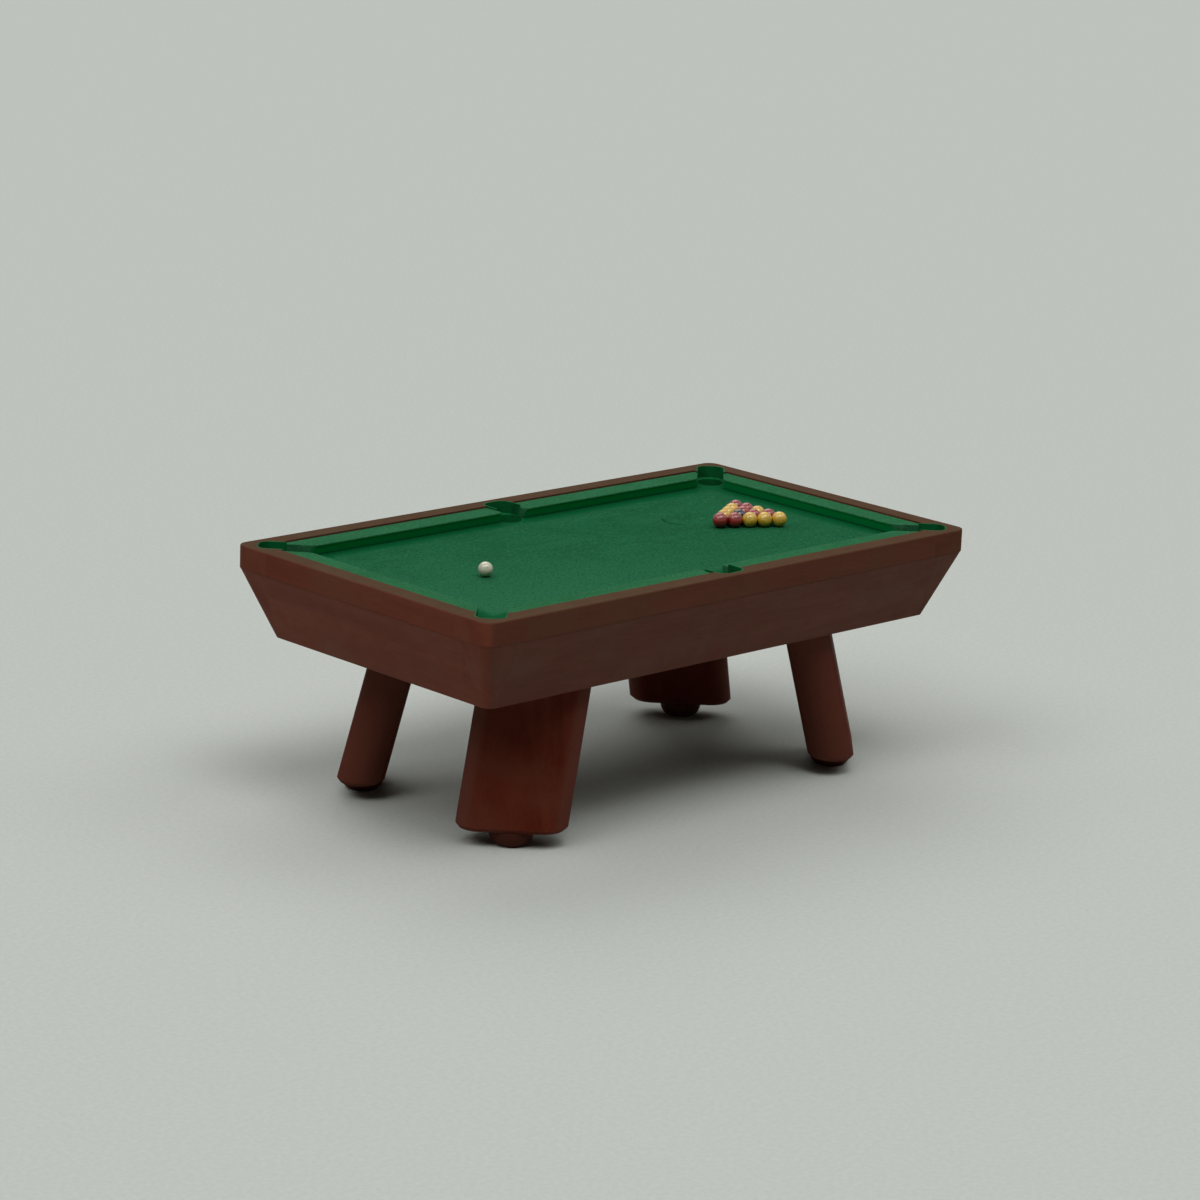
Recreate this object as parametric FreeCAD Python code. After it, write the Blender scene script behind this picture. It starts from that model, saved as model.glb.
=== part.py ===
import FreeCAD, Part
import math
import os
from collections import namedtuple

# A bar-size pool table: a slate bed on a timber frame, a tapered cabinet, four splayed slab legs
# on levelling feet, six cushions, six drop pockets and a set of balls. Lengths are in millimetres.
# The origin is on the floor under the middle of the table. +X runs from the baulk end, where the
# cue ball starts, to the rack end. +Y is the left side seen from the baulk end, and +Z is up.

# Playing field, from cushion nose to cushion nose, and the height of the cloth
PLAY_LENGTH = 1830.0
PLAY_WIDTH = 915.0
BED_HEIGHT = 764.0

# Rail: the bare timber cap, its outer face and its rounded corners in plan
CAP_WIDTH = 64.0
RAIL_RISE = 42.0
RAIL_FACE = 76.0
RAIL_CORNER_RADIUS = 40.0
RAIL_EDGE_RADIUS = 4.0
RAIL_LIP_CHAMFER = 2.0
RAIL_SEAM_MARGIN = 6.0

# Cushion section, measured back from the nose and up from the cloth. The cover also faces the cushion's
# ends at the corner pockets.
CUSHION_WIDTH = 80.0
CUSHION_REVEAL = 6.0
NOSE_HEIGHT = 32.0
NOSE_CROWN = 3.0
NOSE_ROUND = 3.0
RUBBER_DEPTH = 32.0
RUBBER_HEEL = 14.0
RUBBER_HEEL_LIFT = 1.0
COVER_THICKNESS = 4.0
SUB_RAIL_TENON = 10.0

# Slate and cloth
SLATE_THICKNESS = 22.0
SLATE_MARGIN = 10.0
CLOTH_THICKNESS = 1.0

# Corner pockets: the offset is from both nose lines to the middle of the hole. A notch runs back from
# there into the rail, and the nose lines meet the sides of the mouth at the nose angle.
CORNER_MOUTH = 90.0
CORNER_POCKET_RADIUS = 44.0
CORNER_POCKET_OFFSET = 40.0
CORNER_NOTCH_REACH = 73.0
CORNER_FLOOR_RADIUS = 32.0
CORNER_JAW_RADIUS = 45.0
CORNER_NOSE_DEGREES = 45.0

# Side pockets, given in the same way
SIDE_MOUTH = 100.0
SIDE_POCKET_RADIUS = 48.0
SIDE_POCKET_OFFSET = 33.0
SIDE_NOTCH_REACH = 80.0
SIDE_FLOOR_RADIUS = 33.0
SIDE_JAW_RADIUS = 16.0
SIDE_NOSE_DEGREES = 90.0

# Pocket cups, which narrow below their necks to a rounded floor, and the linings of the notches
LINER_WALL = 4.0
LINER_CLEARANCE = 0.3
NOTCH_CORNER_RADIUS = 32.0
POCKET_RIM_DROP = 1.0
POCKET_NECK_DEPTH = 73.0
POCKET_DEPTH = 126.0
POCKET_BULGE = 3.0

# Cabinet below the rail, tapering inwards to its lower edge
APRON_STEP = 2.0
APRON_DEPTH = 221.0
APRON_INSET = 86.0
APRON_WALL = 22.0
APRON_LOWER_RADIUS = 30.0
APRON_SEAM_MARGIN = 8.0
APRON_CUP_CLEARANCE = 2.0
APRON_BLOCK_LENGTH = 70.0
APRON_BLOCK_HEIGHT = 60.0
APRON_BLOCK_LIFT = 10.0
SIDE_BLOCK_SHARE = 0.25
END_BLOCK_SHARE = 0.30

# Frame: the gaps are from the nose lines to the outer faces of the beams
FRAME_END_GAP = 70.0
FRAME_SIDE_GAP = 92.5
BEAM_THICKNESS = 45.0
BEAM_DEPTH = 211.0

# Legs: the insets are from the rail's outer faces to the middle of each foot
FOOT_END_INSET = 342.0
FOOT_SIDE_INSET = 244.5
LEG_BREADTH = 350.0
LEG_THICKNESS = 153.0
LEG_TURN_DEGREES = 45.0
LEG_SPLAY_X_SHARE = 0.2554
LEG_SPLAY_Y_SHARE = 0.08
LEG_CHAMFER = 12.0
PLATE_SIZE = 300.0
PLATE_THICKNESS = 10.0
PLATE_CORNER_RADIUS = 30.0

# Levelling feet: a turned bun, a screw with a spanner collar, and a threaded bush in the leg
FOOT_RADIUS = 69.0
FOOT_BASE_RADIUS = 46.0
FOOT_HEIGHT = 51.5
FOOT_SHOULDER = 9.0
FOOT_SWELL_SHARE = 0.78
FOOT_SWELL_HEIGHT_SHARE = 0.42
FOOT_GAP = 0.5
SCREW_RADIUS = 12.0
SCREW_CLEARANCE = 0.05
SCREW_REACH = 100.0
SOCKET_DEPTH = 30.0
SOCKET_GAP = 0.3
SPANNER_COLLAR_RADIUS = 26.0
SPANNER_COLLAR_HEIGHT = 14.0
SPANNER_COLLAR_LIFT = 0.8
RECESS_RADIUS = 30.0
RECESS_DEPTH = 18.0
BUSH_RADIUS = 20.0
BUSH_LENGTH = 60.0
SCREW_HEADROOM = 22.0

# Fasteners
FASTENER_CLEARANCE = 0.3
RAIL_BOLT_RADIUS = 5.0
RAIL_BOLT_HEAD_RADIUS = 9.0
RAIL_BOLT_HEAD_HEIGHT = 6.0
RAIL_BOLT_LENGTH = 48.0
RAIL_BOLT_SETBACK = 56.0
RAIL_BOLT_SIDE_SHARES = (-0.81, -0.50, -0.17, 0.17, 0.50, 0.81)
RAIL_BOLT_END_SHARES = (-0.55, 0.0, 0.55)
LEG_BOLT_RADIUS = 8.0
LEG_BOLT_HEAD_RADIUS = 14.0
LEG_BOLT_HEAD_HEIGHT = 10.0
LEG_BOLT_LENGTH = 110.0
LEG_BOLT_SPACING = 212.0
FRAME_BOLT_RADIUS = 6.0
FRAME_BOLT_HEAD_RADIUS = 11.0
FRAME_BOLT_HEAD_HEIGHT = 8.0
FRAME_BOLT_LENGTH = 120.0
FRAME_BOLT_SHARES = (0.28, 0.72)
SLATE_SCREW_RADIUS = 4.0
SLATE_SCREW_HEAD_RADIUS = 9.0
SLATE_SCREW_HEAD_DEPTH = 5.0
SLATE_SCREW_LENGTH = 60.0
SLATE_SCREW_SHARES = (-0.88, -0.33, 0.33, 0.88)

# Balls
BALL_DIAMETER = 50.8
CUE_BALL_DIAMETER = 47.6
BALL_GAP = 0.3
RACK_APEX_FROM_NOSE = 410.0
CUE_BALL_FROM_NOSE = 338.0
CUE_BALL_OFFSET = 46.0
RACK_ROWS = ("r", "yr", "yky", "yrry", "rryry")

# One overrun serves every cut, and edges this close to a height count as lying at it
OVERRUN = 20.0
EDGE_TOLERANCE = 0.01

# Worked out from the sizes above
HALF_PLAY_X = PLAY_LENGTH / 2
HALF_PLAY_Y = PLAY_WIDTH / 2
CAP_LINE_X = HALF_PLAY_X + CUSHION_WIDTH
CAP_LINE_Y = HALF_PLAY_Y + CUSHION_WIDTH
HALF_LENGTH = CAP_LINE_X + CAP_WIDTH
HALF_WIDTH = CAP_LINE_Y + CAP_WIDTH
RAIL_TOP = BED_HEIGHT + RAIL_RISE
RAIL_BOTTOM = RAIL_TOP - RAIL_FACE
APRON_BOTTOM = RAIL_BOTTOM - APRON_DEPTH
SLATE_TOP = BED_HEIGHT - CLOTH_THICKNESS
SLATE_BOTTOM = SLATE_TOP - SLATE_THICKNESS
FRAME_BOTTOM = SLATE_BOTTOM - BEAM_DEPTH
FRAME_X = HALF_PLAY_X - FRAME_END_GAP
FRAME_Y = HALF_PLAY_Y - FRAME_SIDE_GAP
LEG_TOP = FRAME_BOTTOM - PLATE_THICKNESS
LEG_BOTTOM = FOOT_HEIGHT + FOOT_GAP
FOOT_X = HALF_LENGTH - FOOT_END_INSET
FOOT_Y = HALF_WIDTH - FOOT_SIDE_INSET
LEG_TOP_X = FOOT_X - LEG_SPLAY_X_SHARE * (LEG_TOP - LEG_BOTTOM)
LEG_TOP_Y = FOOT_Y - LEG_SPLAY_Y_SHARE * (LEG_TOP - LEG_BOTTOM)
BUSH_BOTTOM = LEG_BOTTOM + RECESS_DEPTH
CORNER_X = HALF_PLAY_X + CORNER_POCKET_OFFSET
CORNER_Y = HALF_PLAY_Y + CORNER_POCKET_OFFSET
SIDE_Y = HALF_PLAY_Y + SIDE_POCKET_OFFSET
NOSE_TURN = math.radians(CORNER_NOSE_DEGREES)
CORNER_LEAD = CORNER_POCKET_OFFSET / math.sin(NOSE_TURN) - CORNER_MOUTH / 2 / math.tan(NOSE_TURN)
POCKET_RIM = BED_HEIGHT - POCKET_RIM_DROP
RAIL_SEAM_X = CORNER_X - CORNER_POCKET_RADIUS - LINER_WALL - RAIL_SEAM_MARGIN
RAIL_SEAM_Y = CORNER_Y - CORNER_POCKET_RADIUS - LINER_WALL - RAIL_SEAM_MARGIN
APRON_SEAM = APRON_STEP + APRON_INSET + APRON_LOWER_RADIUS + APRON_SEAM_MARGIN
UP = FreeCAD.Vector(0, 0, 1)
DOWN = FreeCAD.Vector(0, 0, -1)
ENDS = {"baulk": -1, "rack": 1}
SIDES = {"left": 1, "right": -1}
Pocket = namedtuple("Pocket", "mouth radius offset lead reach floor_radius jaw_radius nose_degrees")
CORNER_POCKET = Pocket(CORNER_MOUTH, CORNER_POCKET_RADIUS, CORNER_POCKET_OFFSET, CORNER_LEAD,
                       CORNER_NOTCH_REACH, CORNER_FLOOR_RADIUS, CORNER_JAW_RADIUS, CORNER_NOSE_DEGREES)
SIDE_POCKET = Pocket(SIDE_MOUTH, SIDE_POCKET_RADIUS, SIDE_POCKET_OFFSET, 0,
                     SIDE_NOTCH_REACH, SIDE_FLOOR_RADIUS, SIDE_JAW_RADIUS, SIDE_NOSE_DEGREES)


def corners():
    """Name, X sign and Y sign of each corner of the table."""
    for end, sign_x in ENDS.items():
        for side, sign_y in SIDES.items():
            yield f"{end}_{side}", sign_x, sign_y


def block(x_ends, y_ends, z_ends):
    """Box between two opposite corners, given in any order."""
    low = FreeCAD.Vector(min(x_ends), min(y_ends), min(z_ends))
    high = FreeCAD.Vector(max(x_ends), max(y_ends), max(z_ends))
    size = high - low
    return Part.makeBox(size.x, size.y, size.z, low)


def post(radius, x, y, z_ends):
    """Upright cylinder."""
    return Part.makeCylinder(radius, z_ends[1] - z_ends[0], FreeCAD.Vector(x, y, z_ends[0]))


def prism(points, travel):
    """Closed outline through the points, swept along travel."""
    outline = Part.makePolygon(points + points[:1])
    return Part.Face(outline).extrude(travel)


def rounded_rectangle(half_x, half_y, radius, z):
    """Level outline with an arc at each corner, in order round the table."""
    arcs = []
    for turn in range(4):
        start = math.radians(90 * turn)
        sign_x = 1 if turn in (0, 3) else -1
        sign_y = 1 if turn in (0, 1) else -1
        centre = FreeCAD.Vector(sign_x * (half_x - radius), sign_y * (half_y - radius), z)
        points = []
        for step in range(3):
            angle = start + math.radians(45 * step)
            points.append(centre + FreeCAD.Vector(math.cos(angle), math.sin(angle), 0) * radius)
        arcs.append(points)
    edges = []
    for index, points in enumerate(arcs):
        following = arcs[(index + 1) % len(arcs)]
        edges.append(Part.Arc(*points).toShape())
        edges.append(Part.LineSegment(points[2], following[0]).toShape())
    return Part.Wire(edges)


def stadium(centre, along, length, width):
    """Level outline with two straight sides and two half-round ends."""
    across = FreeCAD.Vector(-along.y, along.x, 0)
    straight = along * ((length - width) / 2)
    half = across * (width / 2)
    tip = along * (length / 2)
    edges = [
        Part.LineSegment(centre - straight - half, centre + straight - half).toShape(),
        Part.Arc(centre + straight - half, centre + tip, centre + straight + half).toShape(),
        Part.LineSegment(centre + straight + half, centre - straight + half).toShape(),
        Part.Arc(centre - straight + half, centre - tip, centre - straight - half).toShape(),
    ]
    return Part.Wire(edges)


def turned(edges):
    """Solid of revolution about the Z axis from a closed profile in the XZ plane."""
    return Part.Face(Part.Wire(edges)).revolve(FreeCAD.Vector(0, 0, 0), UP, 360)


def lines(points):
    """Straight edges through the points, open at the ends."""
    pairs = zip(points[:-1], points[1:])
    return [Part.LineSegment(first, second).toShape() for first, second in pairs]


def level_edges(shape, z):
    """Edges of a shape that lie at one height."""
    found = []
    for edge in shape.Edges:
        heights = (edge.BoundBox.ZMin, edge.BoundBox.ZMax)
        if all(abs(height - z) < EDGE_TOLERANCE for height in heights):
            found.append(edge)
    return found


def hexagon(radius, z_ends):
    """Six-sided bar on the Z axis, with its corners on a circle."""
    points = []
    for corner in range(6):
        angle = math.radians(60 * corner)
        points.append(FreeCAD.Vector(radius * math.cos(angle), radius * math.sin(angle), z_ends[0]))
    return prism(points, UP * (z_ends[1] - z_ends[0]))


def bolt(at, direction, radius, head_radius, head_height, length):
    """Hexagon bolt: the head's bearing face is at the point, and the shank runs along direction."""
    shank = Part.makeCylinder(radius, length)
    shape = shank.fuse(hexagon(head_radius, (-head_height, 0))).removeSplitter()
    shape.Placement = FreeCAD.Placement(at, FreeCAD.Rotation(UP, direction))
    return shape


def bolt_hole(at, direction, radius, length):
    """Clearance hole for the shank of a bolt or screw."""
    reach = length + FASTENER_CLEARANCE
    return Part.makeCylinder(radius + FASTENER_CLEARANCE, reach, at, direction)


def cut_all(shape, tools):
    """The shape with every tool taken out of it."""
    for tool in tools:
        shape = shape.cut(tool)
    return shape


def cushion_top(setback):
    """Height of the cloth-covered cushion top at a distance back from the nose."""
    nose = BED_HEIGHT + NOSE_HEIGHT + NOSE_CROWN
    back = RAIL_TOP - CUSHION_REVEAL
    return nose + (back - nose) * setback / CUSHION_WIDTH


def rail_point(side, sign, setback, z):
    """Point of a rail section: on a long side, or on an end, at the start of its run."""
    if side == "long":
        return FreeCAD.Vector(-HALF_PLAY_X, sign * (HALF_PLAY_Y + setback), z)
    return FreeCAD.Vector(sign * (HALF_PLAY_X + setback), -HALF_PLAY_Y, z)


def rail_run(side):
    """Travel of a rail section from one end of its run to the other."""
    if side == "long":
        return FreeCAD.Vector(PLAY_LENGTH, 0, 0)
    return FreeCAD.Vector(0, PLAY_WIDTH, 0)


def rail_bolt_points():
    """Where each rail bolt comes up through the underside of the slate."""
    points = []
    for sign in (-1, 1):
        for share in RAIL_BOLT_SIDE_SHARES:
            y = sign * (HALF_PLAY_Y + RAIL_BOLT_SETBACK)
            points.append(FreeCAD.Vector(share * HALF_PLAY_X, y, SLATE_BOTTOM))
        for share in RAIL_BOLT_END_SHARES:
            x = sign * (HALF_PLAY_X + RAIL_BOLT_SETBACK)
            points.append(FreeCAD.Vector(x, share * HALF_PLAY_Y, SLATE_BOTTOM))
    return points


def rail_bolt_holes():
    """Holes for the rail bolts through slate, cloth and rail."""
    return [bolt_hole(point, UP, RAIL_BOLT_RADIUS, RAIL_BOLT_LENGTH) for point in rail_bolt_points()]


def slate_screw_points():
    """Where each countersunk screw enters the top of the slate, above a side beam."""
    points = []
    for sign in (-1, 1):
        for share in SLATE_SCREW_SHARES:
            y = sign * (FRAME_Y - BEAM_THICKNESS / 2)
            points.append(FreeCAD.Vector(share * FRAME_X, y, SLATE_TOP))
    return points


def slate_screw(point, clearance):
    """Countersunk screw, or the hole for it when given a clearance."""
    head = Part.makeCone(SLATE_SCREW_HEAD_RADIUS + clearance, SLATE_SCREW_RADIUS + clearance,
                         SLATE_SCREW_HEAD_DEPTH, point, DOWN)
    shank = Part.makeCylinder(SLATE_SCREW_RADIUS + clearance, SLATE_SCREW_LENGTH + clearance, point, DOWN)
    return head.fuse(shank).removeSplitter()


def leg_bolt_points(sign_x, sign_y):
    """The two leg bolts of a corner, spread along the breadth of the leg."""
    along = leg_breadth_direction(sign_x, sign_y)
    middle = FreeCAD.Vector(sign_x * LEG_TOP_X, sign_y * LEG_TOP_Y, FRAME_BOTTOM)
    return [middle + along * (step * LEG_BOLT_SPACING / 2) for step in (-1, 1)]


def frame_bolt_points(sign_x):
    """Bolts through an end beam into the ends of both side beams."""
    points = []
    for sign_y in SIDES.values():
        for share in FRAME_BOLT_SHARES:
            y = sign_y * (FRAME_Y - BEAM_THICKNESS / 2)
            points.append(FreeCAD.Vector(sign_x * FRAME_X, y, FRAME_BOTTOM + share * BEAM_DEPTH))
    return points


def corner_places():
    """Middle of each corner pocket, and the direction in degrees in which its notch runs back."""
    for name, sign_x, sign_y in corners():
        middle = FreeCAD.Vector(sign_x * CORNER_X, sign_y * CORNER_Y, 0)
        yield middle, math.degrees(math.atan2(sign_y, sign_x))


def side_places():
    """Middle of each side pocket, and the direction in degrees in which its notch runs back."""
    for sign_y in SIDES.values():
        yield FreeCAD.Vector(0, sign_y * SIDE_Y, 0), math.degrees(math.atan2(sign_y, 0))


def at_places(shape, places):
    """Copies of a shape that was made at the origin with its notch along +X, one at each pocket."""
    copies = []
    for middle, turn in places:
        copy = shape.rotated(FreeCAD.Vector(0, 0, 0), UP, turn)
        copies.append(copy.translated(middle))
    return copies


def notch(pocket, grow, z_ends):
    """Upright block over the plan of a pocket's notch, rounded at the back, and grown by a wall."""
    half = pocket.mouth / 2 + grow
    back = pocket.reach + grow
    body = block((-pocket.lead, back), (-half, half), z_ends)
    rear_edges = []
    for edge in body.Edges:
        box = edge.BoundBox
        if box.XMin > back - EDGE_TOLERANCE and box.YLength < EDGE_TOLERANCE:
            rear_edges.append(edge)
    return body.makeFillet(NOTCH_CORNER_RADIUS + grow, rear_edges)


def jaw_point(pocket, sign):
    """Where one side of a pocket's mouth meets the nose line of the cushion."""
    turn = math.radians(pocket.nose_degrees)
    half = pocket.mouth / 2
    return FreeCAD.Vector(-pocket.offset / math.sin(turn) - half / math.tan(turn), sign * half, 0)


def jaw_wedge(pocket, sign, z_ends):
    """What the rounding of one jaw takes off the cushion."""
    turn = math.radians(pocket.nose_degrees)
    along_mouth = FreeCAD.Vector(1, 0, 0)
    along_nose = FreeCAD.Vector(-math.cos(turn), sign * math.sin(turn), 0)
    inward = (along_mouth + along_nose).normalize()
    half_angle = (math.pi - turn) / 2
    tip = jaw_point(pocket, sign) + UP * z_ends[0]
    first = tip + along_mouth * (pocket.jaw_radius / math.tan(half_angle))
    last = tip + along_nose * (pocket.jaw_radius / math.tan(half_angle))
    middle = tip + inward * (pocket.jaw_radius / math.sin(half_angle) - pocket.jaw_radius)
    edges = [Part.Arc(first, middle, last).toShape()] + lines([last, tip - inward * OVERRUN, first])
    return Part.Face(Part.Wire(edges)).extrude(UP * (z_ends[1] - z_ends[0]))


def pocket_hole(pocket, z_ends):
    """Round hole that a pocket's cup hangs in."""
    return post(pocket.radius + LINER_WALL + LINER_CLEARANCE, 0, 0, z_ends)


def mouth(pocket, grow, z_ends):
    """Straight space between the cushion ends in front of a pocket's notch, grown at both sides."""
    half = pocket.mouth / 2 + grow
    front = jaw_point(pocket, 1).x - CUSHION_WIDTH
    return block((front, -pocket.lead), (-half, half), z_ends)


def throat(pocket):
    """Space of a pocket through rail and cushions: the hole below its rim, and above it notch and mouth."""
    above = (POCKET_RIM, RAIL_TOP + OVERRUN)
    space = pocket_hole(pocket, (RAIL_BOTTOM - OVERRUN, POCKET_RIM))
    space = space.fuse(notch(pocket, LINER_WALL + LINER_CLEARANCE, above))
    space = space.fuse(mouth(pocket, 0, above))
    for sign in (-1, 1):
        space = space.fuse(jaw_wedge(pocket, sign, above))
    return space


def all_throats():
    """The six pocket throats, for cutting rails and cushions."""
    return at_places(throat(CORNER_POCKET), corner_places()) + at_places(throat(SIDE_POCKET), side_places())


def bed_pocket_cuts(corner_pocket, side_pocket):
    """The six holes and notches through slate or cloth."""
    cuts = []
    for pocket, places in ((corner_pocket, corner_places()), (side_pocket, side_places())):
        z_ends = (SLATE_BOTTOM - OVERRUN, BED_HEIGHT + OVERRUN)
        cut = pocket_hole(pocket, z_ends).fuse(notch(pocket, LINER_WALL + LINER_CLEARANCE, z_ends))
        cuts += at_places(cut, places)
    return cuts


def bed_plate(pocket_cuts, z_ends):
    """Rectangle of slate or cloth that runs under the cushions, cut for the pockets and rail bolts."""
    half_x = CAP_LINE_X - SLATE_MARGIN
    half_y = CAP_LINE_Y - SLATE_MARGIN
    plate = block((-half_x, half_x), (-half_y, half_y), z_ends)
    return cut_all(plate, pocket_cuts + rail_bolt_holes())


def make_bed():
    """Slate, its screws and the cloth. The linings of the corner pockets lead out over the slate alone."""
    screws = [slate_screw(point, 0) for point in slate_screw_points()]
    screw_holes = [slate_screw(point, FASTENER_CLEARANCE) for point in slate_screw_points()]
    slate_cuts = bed_pocket_cuts(CORNER_POCKET._replace(lead=0), SIDE_POCKET)
    slate = cut_all(bed_plate(slate_cuts, (SLATE_BOTTOM, SLATE_TOP)), screw_holes)
    cloth = bed_plate(bed_pocket_cuts(CORNER_POCKET, SIDE_POCKET), (SLATE_TOP, BED_HEIGHT))
    return {"slate_bed": [slate], "slate_screws": screws, "bed_cloth": [cloth]}


def make_frame():
    """Side, end and cross beams, with the bolts that tie the end beams to the side beams."""
    z_ends = (FRAME_BOTTOM, SLATE_BOTTOM)
    inner_x = FRAME_X - BEAM_THICKNESS
    inner_y = FRAME_Y - BEAM_THICKNESS
    screw_holes = [slate_screw(point, FASTENER_CLEARANCE) for point in slate_screw_points()]
    bolt_holes = []
    bolts = []
    for sign_x in ENDS.values():
        inward = FreeCAD.Vector(-sign_x, 0, 0)
        for point in frame_bolt_points(sign_x):
            bolts.append(bolt(point, inward, FRAME_BOLT_RADIUS, FRAME_BOLT_HEAD_RADIUS,
                              FRAME_BOLT_HEAD_HEIGHT, FRAME_BOLT_LENGTH))
            bolt_holes.append(bolt_hole(point, inward, FRAME_BOLT_RADIUS, FRAME_BOLT_LENGTH))
    nodes = {"frame_bolts": bolts}
    for side, sign_y in SIDES.items():
        beam = block((-inner_x, inner_x), (sign_y * inner_y, sign_y * FRAME_Y), z_ends)
        nodes[f"side_beam_{side}"] = [cut_all(beam, screw_holes + bolt_holes)]
    for end, sign_x in ENDS.items():
        beam = block((sign_x * inner_x, sign_x * FRAME_X), (-FRAME_Y, FRAME_Y), z_ends)
        nodes[f"end_beam_{end}"] = [cut_all(beam, bolt_holes)]
    nodes["cross_beams"] = []
    for x in (-LEG_TOP_X, 0, LEG_TOP_X):
        x_ends = (x - BEAM_THICKNESS / 2, x + BEAM_THICKNESS / 2)
        nodes["cross_beams"].append(block(x_ends, (-inner_y, inner_y), z_ends))
    return nodes


def leg_breadth_direction(sign_x, sign_y):
    """Level direction along the breadth of a leg, which lies across its corner."""
    turn = math.radians(LEG_TURN_DEGREES)
    return FreeCAD.Vector(sign_x * math.cos(turn), -sign_y * math.sin(turn), 0)


def leg_section(sign_x, sign_y, rise, inset):
    """Outline of a leg at a height above its underside."""
    x = sign_x * (FOOT_X - LEG_SPLAY_X_SHARE * rise)
    y = sign_y * (FOOT_Y - LEG_SPLAY_Y_SHARE * rise)
    centre = FreeCAD.Vector(x, y, LEG_BOTTOM + rise)
    along = leg_breadth_direction(sign_x, sign_y)
    return stadium(centre, along, LEG_BREADTH - 2 * inset, LEG_THICKNESS - 2 * inset)


def make_leg(sign_x, sign_y):
    """Splayed slab leg with round edges, bored for its levelling screw and its two bolts."""
    height = LEG_TOP - LEG_BOTTOM
    sections = [leg_section(sign_x, sign_y, 0, LEG_CHAMFER), leg_section(sign_x, sign_y, LEG_CHAMFER, 0)]
    base = Part.makeLoft(sections, True, True)
    rise = height - LEG_CHAMFER
    lean = FreeCAD.Vector(-sign_x * LEG_SPLAY_X_SHARE, -sign_y * LEG_SPLAY_Y_SHARE, 1) * rise
    shaft = Part.Face(leg_section(sign_x, sign_y, LEG_CHAMFER, 0)).extrude(lean)
    leg = shaft.fuse(base).removeSplitter()
    x = sign_x * FOOT_X
    y = sign_y * FOOT_Y
    bush_top = BUSH_BOTTOM + BUSH_LENGTH
    tools = [
        post(RECESS_RADIUS, x, y, (LEG_BOTTOM - OVERRUN, BUSH_BOTTOM)),
        post(BUSH_RADIUS, x, y, (BUSH_BOTTOM, bush_top)),
        post(SCREW_RADIUS + FASTENER_CLEARANCE, x, y, (bush_top, bush_top + SCREW_HEADROOM)),
    ]
    for point in leg_bolt_points(sign_x, sign_y):
        tools.append(bolt_hole(point, DOWN, LEG_BOLT_RADIUS, LEG_BOLT_LENGTH))
    return cut_all(leg, tools)


def make_leg_plate(sign_x, sign_y):
    """Steel plate between a leg and the frame, with its two bolt holes."""
    half = PLATE_SIZE / 2
    outline = rounded_rectangle(half, half, PLATE_CORNER_RADIUS, LEG_TOP)
    outline.translate(FreeCAD.Vector(sign_x * LEG_TOP_X, sign_y * LEG_TOP_Y, 0))
    plate = Part.Face(outline).extrude(UP * PLATE_THICKNESS)
    points = leg_bolt_points(sign_x, sign_y)
    return cut_all(plate, [bolt_hole(point, DOWN, LEG_BOLT_RADIUS, LEG_BOLT_LENGTH) for point in points])


def make_foot():
    """Bun foot on the Z axis: a flat base, a swelling side, a shoulder and a socket for the screw."""
    belly = FOOT_HEIGHT - FOOT_SHOULDER
    swell = (FOOT_RADIUS - FOOT_BASE_RADIUS) * FOOT_SWELL_SHARE
    base = FreeCAD.Vector(FOOT_BASE_RADIUS, 0, 0)
    middle = FreeCAD.Vector(FOOT_BASE_RADIUS + swell, 0, belly * FOOT_SWELL_HEIGHT_SHARE)
    shoulder = FreeCAD.Vector(FOOT_RADIUS, 0, belly)
    rim = FreeCAD.Vector(FOOT_RADIUS, 0, FOOT_HEIGHT)
    edges = lines([rim, FreeCAD.Vector(0, 0, FOOT_HEIGHT), FreeCAD.Vector(0, 0, 0), base])
    edges.append(Part.Arc(base, middle, shoulder).toShape())
    edges += lines([shoulder, rim])
    socket = post(SCREW_RADIUS + SCREW_CLEARANCE, 0, 0, (FOOT_HEIGHT - SOCKET_DEPTH, FOOT_HEIGHT + OVERRUN))
    return turned(edges).cut(socket)


def make_screw():
    """Levelling screw on the Z axis: a plain rod with a hexagonal collar for a spanner."""
    foot_end = FOOT_HEIGHT - SOCKET_DEPTH + SOCKET_GAP
    collar_bottom = FOOT_HEIGHT + SPANNER_COLLAR_LIFT
    rod = post(SCREW_RADIUS, 0, 0, (foot_end, FOOT_HEIGHT + SCREW_REACH))
    collar = hexagon(SPANNER_COLLAR_RADIUS, (collar_bottom, collar_bottom + SPANNER_COLLAR_HEIGHT))
    return rod.fuse(collar).removeSplitter()


def make_bush():
    """Threaded bush on the Z axis, shown with a plain bore."""
    z_ends = (BUSH_BOTTOM, BUSH_BOTTOM + BUSH_LENGTH)
    bore = post(SCREW_RADIUS + SCREW_CLEARANCE, 0, 0, (z_ends[0] - OVERRUN, z_ends[1] + OVERRUN))
    return post(BUSH_RADIUS, 0, 0, z_ends).cut(bore)


def make_legs():
    """Four legs with their plates, bolts, bushes, levelling screws and feet."""
    nodes = {"leg_plates": [], "leg_bolts": [], "leveller_bushes": []}
    for name, sign_x, sign_y in corners():
        place = FreeCAD.Vector(sign_x * FOOT_X, sign_y * FOOT_Y, 0)
        nodes[f"leg_{name}"] = [make_leg(sign_x, sign_y)]
        nodes["leg_plates"].append(make_leg_plate(sign_x, sign_y))
        for point in leg_bolt_points(sign_x, sign_y):
            nodes["leg_bolts"].append(bolt(point, DOWN, LEG_BOLT_RADIUS, LEG_BOLT_HEAD_RADIUS,
                                           LEG_BOLT_HEAD_HEIGHT, LEG_BOLT_LENGTH))
        nodes["leveller_bushes"].append(make_bush().translated(place))
        nodes[f"leveller_screw_{name}"] = [make_screw().translated(place)]
        nodes[f"foot_{name}"] = [make_foot().translated(place)]
    return nodes


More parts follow.
